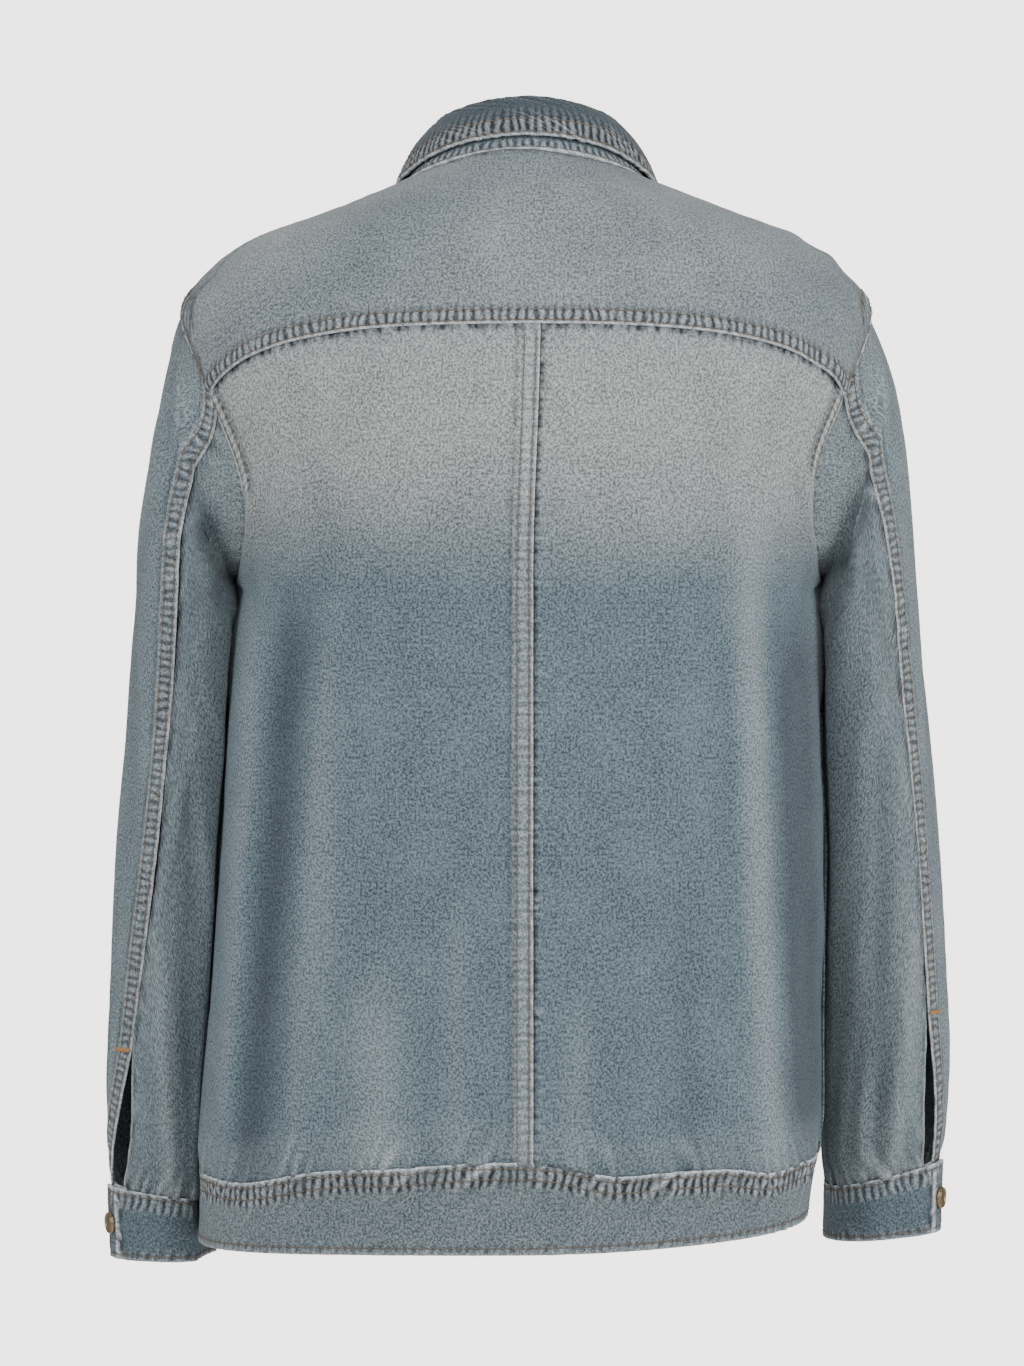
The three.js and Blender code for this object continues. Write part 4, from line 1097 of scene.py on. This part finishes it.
def make_sleeve(hand, side):
    end = len(SLEEVES[hand]["seam"])
    stop = end - SLEEVE_STOP
    slit = SLITS[hand]

    def degrees(angle, along):
        step = sleeve_point(hand, side, angle + 0.5, along) - sleeve_point(hand, side, angle - 0.5, along)
        return 1 / np.linalg.norm(step, axis=-1)

    def upper_angles(u, along):
        seam = seam_angle_at(hand, along)
        start = seam + (GAP / 2 + slit_half(slit, along, end)) * degrees(seam, along)
        return lerp(start, FRONT_SEAM - FRONT_SEAM_GAP, u)

    def under_angles(u, along):
        seam = seam_angle_at(hand, along) + 360
        finish = seam - (GAP + slit_half(slit, along, end)) * degrees(seam, along)
        return lerp(FRONT_SEAM + FRONT_SEAM_GAP, finish, u)

    def dress(relief, angle, along, seed):
        crease = crease_rise(angle + 7 * side, along)
        relief.height += crease
        # Painted highlights on the crease ridges and painted shade in their hollows.
        relief.worn += 0.10 * np.clip(crease / 2, 0, 1)
        relief.dark += 0.30 * np.clip(-crease / 2, 0, 1)
        relief.undulate(seed, 0.7)
        # Painted shade in the hollow below the armhole, and darker towards the cuff.
        hollow = bell(angle % 360 - 325, 34) * smooth(1.6 - np.abs(along - 1.9))
        relief.height -= 2.5 * hollow
        relief.dark += 0.20 * hollow + 0.10 * smooth((along - 8) / 3)
        # Painted shade in the armpit.
        armpit = bell(angle % 360 - 277, 30) * smooth(2.2 - np.abs(along - 2.6))
        relief.height += 3.0 * armpit
        relief.dark += 0.28 * armpit
        # Painted shadows under the body's edge at the armhole and above the cuff.
        relief.painted_shadow_line(relief.run_u, relief.top, seed + 1, 0.4, 2.8, 0.85)
        relief.gather_u += 0.3 * bell(relief.top, 7)
        relief.pucker(relief.run_u, relief.top, seed + 2, 0.4, 0.25, pitch=9, reach=13, slant=0.2)
        relief.gather_u += 0.4 * bell(relief.low, 9)
        relief.pucker(relief.run_u, relief.low, seed + 3, 1.2, 0.4, pitch=11, reach=20, slant=0.2)
        relief.painted_shadow_line(relief.run_u, relief.low, seed + 4, 0.2, 2.6, 0.7)
        # The tops of the sleeves are more faded, and the right sleeve is painted a little lighter where more
        # light falls on it.
        relief.fade += 0.15 + 0.12 * smooth(1 - along / 2.4) + 0.06 * (side < 0)

    def upper_relief(relief):
        along = relief.v * stop
        dress(relief, upper_angles(relief.u, along), along, 110 + side * 10)
        seam, place = relief.left, relief.top
        relief.raise_strip(seam, FELL_WIDTH)
        relief.worn_line(place, seam, 121, 1.0, 1.0)
        relief.worn_line(place, seam - FELL_WIDTH + 0.8, 124, 0.9, 0.3)
        # A painted shadow beside the fell.
        relief.painted_shadow_line(place, seam, 122, FELL_WIDTH + 1.5, 1.6, 0.6)
        relief.dark += 0.16 * band(seam, 2, 10.5, 2)
        relief.gather_v += 0.65 * band(seam, 1.2, 11, 1.5)
        relief.grooves(seam, *SLEEVE_ROWS)
        relief.pucker(place, np.abs(seam - 6.2), 123 + side, 0.45, 0.2, pitch=8.0, reach=8, slant=0.3)

    def under_relief(relief):
        along = relief.v * stop
        dress(relief, under_angles(relief.u, along), along, 150 + side * 10)
        # A painted shadow beside the upper sleeve's fell.
        relief.painted_shadow_line(relief.top, relief.right, 161, 0.6, 2.0, 1.0)
        relief.gather_v += 0.25 * bell(relief.right, 5)
        relief.pucker(relief.top, relief.right, 162 + side, 0.35, 0.2, pitch=8.5, reach=8)
        relief.worn += 0.5 * bell(relief.right, 1.0) * smooth((along - slit["from"]) * 2)

    def upper(u, v):
        return sleeve_point(hand, side, upper_angles(u, v * stop), v * stop)

    def under(u, v):
        return sleeve_point(hand, side, under_angles(u, v * stop), v * stop)

    relief = make_sheet(f"sleeve_upper_{hand}", upper, upper_relief, side, "seam")
    sew(relief, "left", SLEEVE_ROWS, (0.01, 1.0))
    make_sheet(f"sleeve_under_{hand}", under, under_relief, side)
    tack = int(np.interp(slit["from"] + 0.25, [0, end], [0, len(relief.grid) - 1]))
    tacks.append((relief.grid[tack, 0], relief.grid[tack, 9], relief.normals[tack, 4]))


tacks = []
for hand, side in SIDES:
    make_sleeve(hand, side)


# Cuffs

def make_cuff(hand, side):
    rows = SLEEVES[hand]
    top = {name: values[-1] for name, values in rows.items()}
    cuff = CUFFS[hand]

    def tube(angle, down):
        row = {
            "outerX": lerp(top["outerX"], cuff["outerX"], down),
            "outerZ": top["outerZ"] - GAP - cuff["drop"] * down,
            "innerX": lerp(top["innerX"], cuff["innerX"], down),
            "innerZ": top["innerZ"] - GAP - cuff["innerDrop"] * down,
            "middleY": lerp(top["middleY"], CUFF_FOOT["middleY"], down),
            "depth": lerp(top["depth"], CUFF_FOOT["depth"], down),
        }
        return clear_of_body(section_point(row, side, angle), CUFF_CLEAR_OF_BODY)

    def surface(u, v):
        start = cuff["start"]
        angle = lerp(start, start + 360 + CUFF_LAP, u)
        before_end = (start + 360 - angle) / CUFF_LAP_RAMP
        out = SEAM_PROUD + LAP_RISE * smooth(1 - before_end)
        down = lerp(-0.035, 1, v)
        return tube(angle, down) + surface_normal(tube, angle, down, 0.6, 0.02, side) * out[..., None]

    def relief_of(relief):
        relief.worn_line(relief.left, relief.top, 171, 1.1, 0.9)
        relief.worn_line(relief.left, relief.low, 172, 1.1, 0.7)
        relief.worn_line(relief.top, relief.right, 173, 1.2, 1.0)
        relief.height += 1.3 * band(relief.right, -5, TAB)
        frayed = relief.right - TAB + 0.8 * ripple(relief.top, 179, 7, 19)
        relief.worn_line(relief.top, frayed, 175, 1.2, 1.2)
        # A painted shadow under the fold of the lapping tab.
        relief.painted_shadow_line(relief.top, relief.right - TAB, 177, 3.2, 2.4, 0.9)
        relief.gather_u += 0.7 * band(relief.top, 1.5, 12, 3) + 0.3 * band(relief.low, 0.5, 6, 2)
        relief.grooves(relief.top, CUFF_TOP_ROW)
        relief.grooves(relief.low, CUFF_ROW)
        relief.grooves(relief.right, CUFF_ROW)
        relief.pucker(relief.left, relief.top, 174 + side, 0.6, 0.45, pitch=9, reach=10, slant=0.4)
        relief.pucker(relief.left, relief.low, 176 + side, 0.45, 0.4, pitch=8, reach=8, slant=0.4)
        relief.undulate(178, 0.6)
        relief.dark += 0.36

    relief = make_sheet(f"cuff_{hand}", surface, relief_of, side)
    sew(relief, "top", [CUFF_TOP_ROW])
    sew(relief, "low", [CUFF_ROW])
    sew(relief, "right", [CUFF_ROW])


for hand, side in SIDES:
    make_cuff(hand, side)


# Collar

def fold_point(angle):
    sin, cos = np.sin(angle * DEG), np.cos(angle * DEG)
    end_z = np.where(cos > 0, FOLD_LINE["backZ"], FOLD_LINE["frontZ"])
    z = FOLD_LINE["sideZ"] + (end_z - FOLD_LINE["sideZ"]) * cos * cos
    depth = np.where(cos > 0, FOLD_LINE["back"], FOLD_LINE["front"])
    return stacked(BODY["middle"][0] + FOLD_LINE["half"] * sin, depth * cos, z)


def stand_point(angle, up):
    seam = body_point(angle, np.zeros_like(angle))
    to_fold = fold_point(angle) - seam
    low = (lap_rise(angle, np.zeros_like(angle)) - STAND_FOOT) / np.linalg.norm(to_fold, axis=-1)
    return seam + to_fold * lerp(low, STAND_TOP, up)[..., None]


def stand_surface(u, v):
    end = 360 - front_angle(PLACKET_WIDTH / 2, 0)
    angle = lerp(-end, end, u)
    out = lap_rise(angle, np.zeros_like(angle))
    return stand_point(angle, 1 - v) + surface_normal(stand_point, angle, 1 - v, 0.5, -0.02) * out[..., None]


def stand_relief(relief):
    relief.dark += 0.3
    relief.worn_line(relief.run_u, relief.low - 1, 181, 1.7, 1.0)
    relief.grooves(relief.low, 4.0)
    relief.gather_u += 0.85 * band(relief.low, 2.4, 9, 1.5)
    relief.pucker(relief.run_u, relief.low, 182, 0.35, 0.3, pitch=7.5, reach=8)


relief = make_sheet("collar_stand", stand_surface, stand_relief, grain="low")
sew(relief, "low", [STAND_ROW], colour="grey")


def fall_point(share, down):
    side, part = np.where(share < 0, -1, 1), np.abs(share)
    edge = sample(FALL_EDGE, "angle", part * FALL_EDGE["angle"][-1])
    point = body_point(side * edge["angle"], edge["level"])
    to_fold = unit(fold_point(side * edge["angle"]) - point)
    low = point + to_fold * edge["lift"][..., None]
    low = low + body_normal(side * edge["angle"], edge["level"]) * edge["out"][..., None]
    top = fold_point(side * part * FALL_END_ANGLE) + np.array([0, 0, FALL_ABOVE_STAND])
    outward = unit((low - top) * np.array([1, 1, 0]))
    bulge = FALL_BULGE * np.sin(np.pi * np.minimum(1, down + 0.12 * (1 - down)))
    over_stand = 1.6 + LAP_RISE * smooth((part - 0.7) * 5)
    return lerp(top, low, down[..., None]) + outward * (bulge + over_stand * (1 - down))[..., None]


def fall_surface(u, v):
    return fall_point(u * 2 - 1, v)


def fall_relief(relief):
    along = relief.run_u
    relief.dark += 0.78
    relief.worn_line(along, relief.low, 191, 1.4, 1.0)
    relief.grooves(relief.low, *COLLAR_ROWS)
    relief.gather_u += 1.0 * band(relief.low, 2, 12.5, 1.8) + 0.25 * band(relief.low, 12, 20, 6)
    relief.dark += 0.2 * band(relief.low, 2, 12, 2)
    relief.pucker(along, relief.low - 6, 192, 0.55, 0.25, pitch=8, reach=9, slant=0.2)
    relief.pucker(along, relief.top, 193, 0.3, 0.3, pitch=10, reach=8)
    ends = np.minimum(relief.left, relief.right)
    relief.worn += 0.7 * bell(ends, 1.3)
    relief.grooves(ends, 4.6)
    relief.undulate(194, 0.6)


relief = make_sheet("collar_fall", fall_surface, fall_relief, grain="low")
sew(relief, "low", COLLAR_ROWS)


# Buttons keep their solids, in metal

for node_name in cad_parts:
    if "button" in node_name:
        button = bpy.data.objects[node_name]
        button.data.materials.clear()
        button.data.materials.append(METAL)


# Sewing thread: one short bar for each stitch, and bar tacks of satin stitches that end the sleeve slits

def lay_rod(rods, centre, along, out, segments, radius, length, flatten=(1, 1, 1)):
    z_axis = Vector(along).normalized()
    x_axis = Vector(out).cross(z_axis).normalized()
    turn = Matrix((x_axis, z_axis.cross(x_axis), z_axis)).transposed().to_4x4()
    place = Matrix.Translation(Vector(centre) * MM) @ turn @ Matrix.Diagonal((*flatten, 1))
    size = {"radius1": radius * MM, "radius2": radius * MM, "depth": length * MM}
    bmesh.ops.create_cone(rods, cap_ends=True, segments=segments, matrix=place, **size)


def add_sewing(name, rods, material):
    piece = add_object(name, to_mesh(rods, name), material)
    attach(piece, "root")


for colour in ("tan", "grey"):
    thread = bmesh.new()
    for centres, ahead, out, shade in thread_rows:
        if shade == colour:
            for centre, along, normal in zip(centres, ahead, out):
                lay_rod(thread, centre + normal * 0.12, along, normal, 5, THREAD_RADIUS, THREAD_LENGTH)
    add_sewing(f"stitches_{colour}", thread, THREADS[colour])

tack = bmesh.new()
for start, finish, normal in tacks:
    across = finish - start
    length = np.linalg.norm(across) / TACK_STITCHES
    for step in range(TACK_STITCHES):
        centre = start + across * ((step + 0.5) / TACK_STITCHES) + normal * 1.3
        lay_rod(tack, centre, across, normal, 8, TACK_RADIUS, length, (2.6, 1, 0.9))
add_sewing("bar_tacks", tack, THREADS["orange"])


# Camera, lights and floor

CAMERA_PLACE = (0.00845, 2.5, -0.325)
LENS = 101.4
SENSOR = 36
FLOOR_Z = -1.0

camera_data = bpy.data.cameras.new("camera")
camera_data.lens = LENS
camera_data.sensor_width = SENSOR
camera_data.sensor_fit = "AUTO"
camera = add_object("camera", camera_data)
camera.location = CAMERA_PLACE
camera.rotation_euler = (np.pi / 2, 0, np.pi)
bpy.context.scene.camera = camera

floor_grid = bmesh.new()
bmesh.ops.create_grid(floor_grid, x_segments=1, y_segments=1, size=1.0)
floor_mesh = to_mesh(floor_grid, "floor")
floor_mesh.transform(Matrix.Translation((0, 0, FLOOR_Z)))
floor = add_object("floor", floor_mesh, plain("pale_floor", (0.78, 0.77, 0.765, 1), 0.9, 0.0, 40, 0.02))


def add_light(name, place, target, size, power):
    data = bpy.data.lights.new(name, "AREA")
    data.shape = "RECTANGLE"
    data.size, data.size_y = size
    data.energy = power
    lamp = add_object(name, data)
    lamp.location = place
    lamp.rotation_euler = (Vector(target) - Vector(place)).to_track_quat("-Z", "Y").to_euler()


add_light("key", (-0.35, 2.0, 1.5), (0, 0.05, -0.3), (1.0, 1.0), 40)
add_light("left_fill", (1.9, 1.4, 0.1), (0, 0.05, -0.35), (1.0, 1.6), 33)
add_light("right_fill", (-1.9, 1.2, -0.1), (0, 0.05, -0.35), (1.0, 1.6), 37)
add_light("front_fill", (0.2, -2.6, 0.8), (0, 0, -0.3), (2.0, 2.0), 45)

world = bpy.data.worlds.new("studio")
bpy.context.scene.world = world
world.use_nodes = True
sky = world.node_tree
sky.nodes.clear()
lit = add_node(sky, "ShaderNodeBackground", {"Color": (0.96, 0.98, 1.0, 1), "Strength": 0.42})
seen = add_node(sky, "ShaderNodeBackground", {"Color": (1.0, 0.945, 0.93, 1), "Strength": 3.6})
is_seen = add_node(sky, "ShaderNodeLightPath").outputs["Is Camera Ray"]
choose = add_node(sky, "ShaderNodeMixShader", {0: is_seen, 1: lit.outputs[0], 2: seen.outputs[0]})
add_node(sky, "ShaderNodeOutputWorld", {"Surface": choose.outputs[0]})
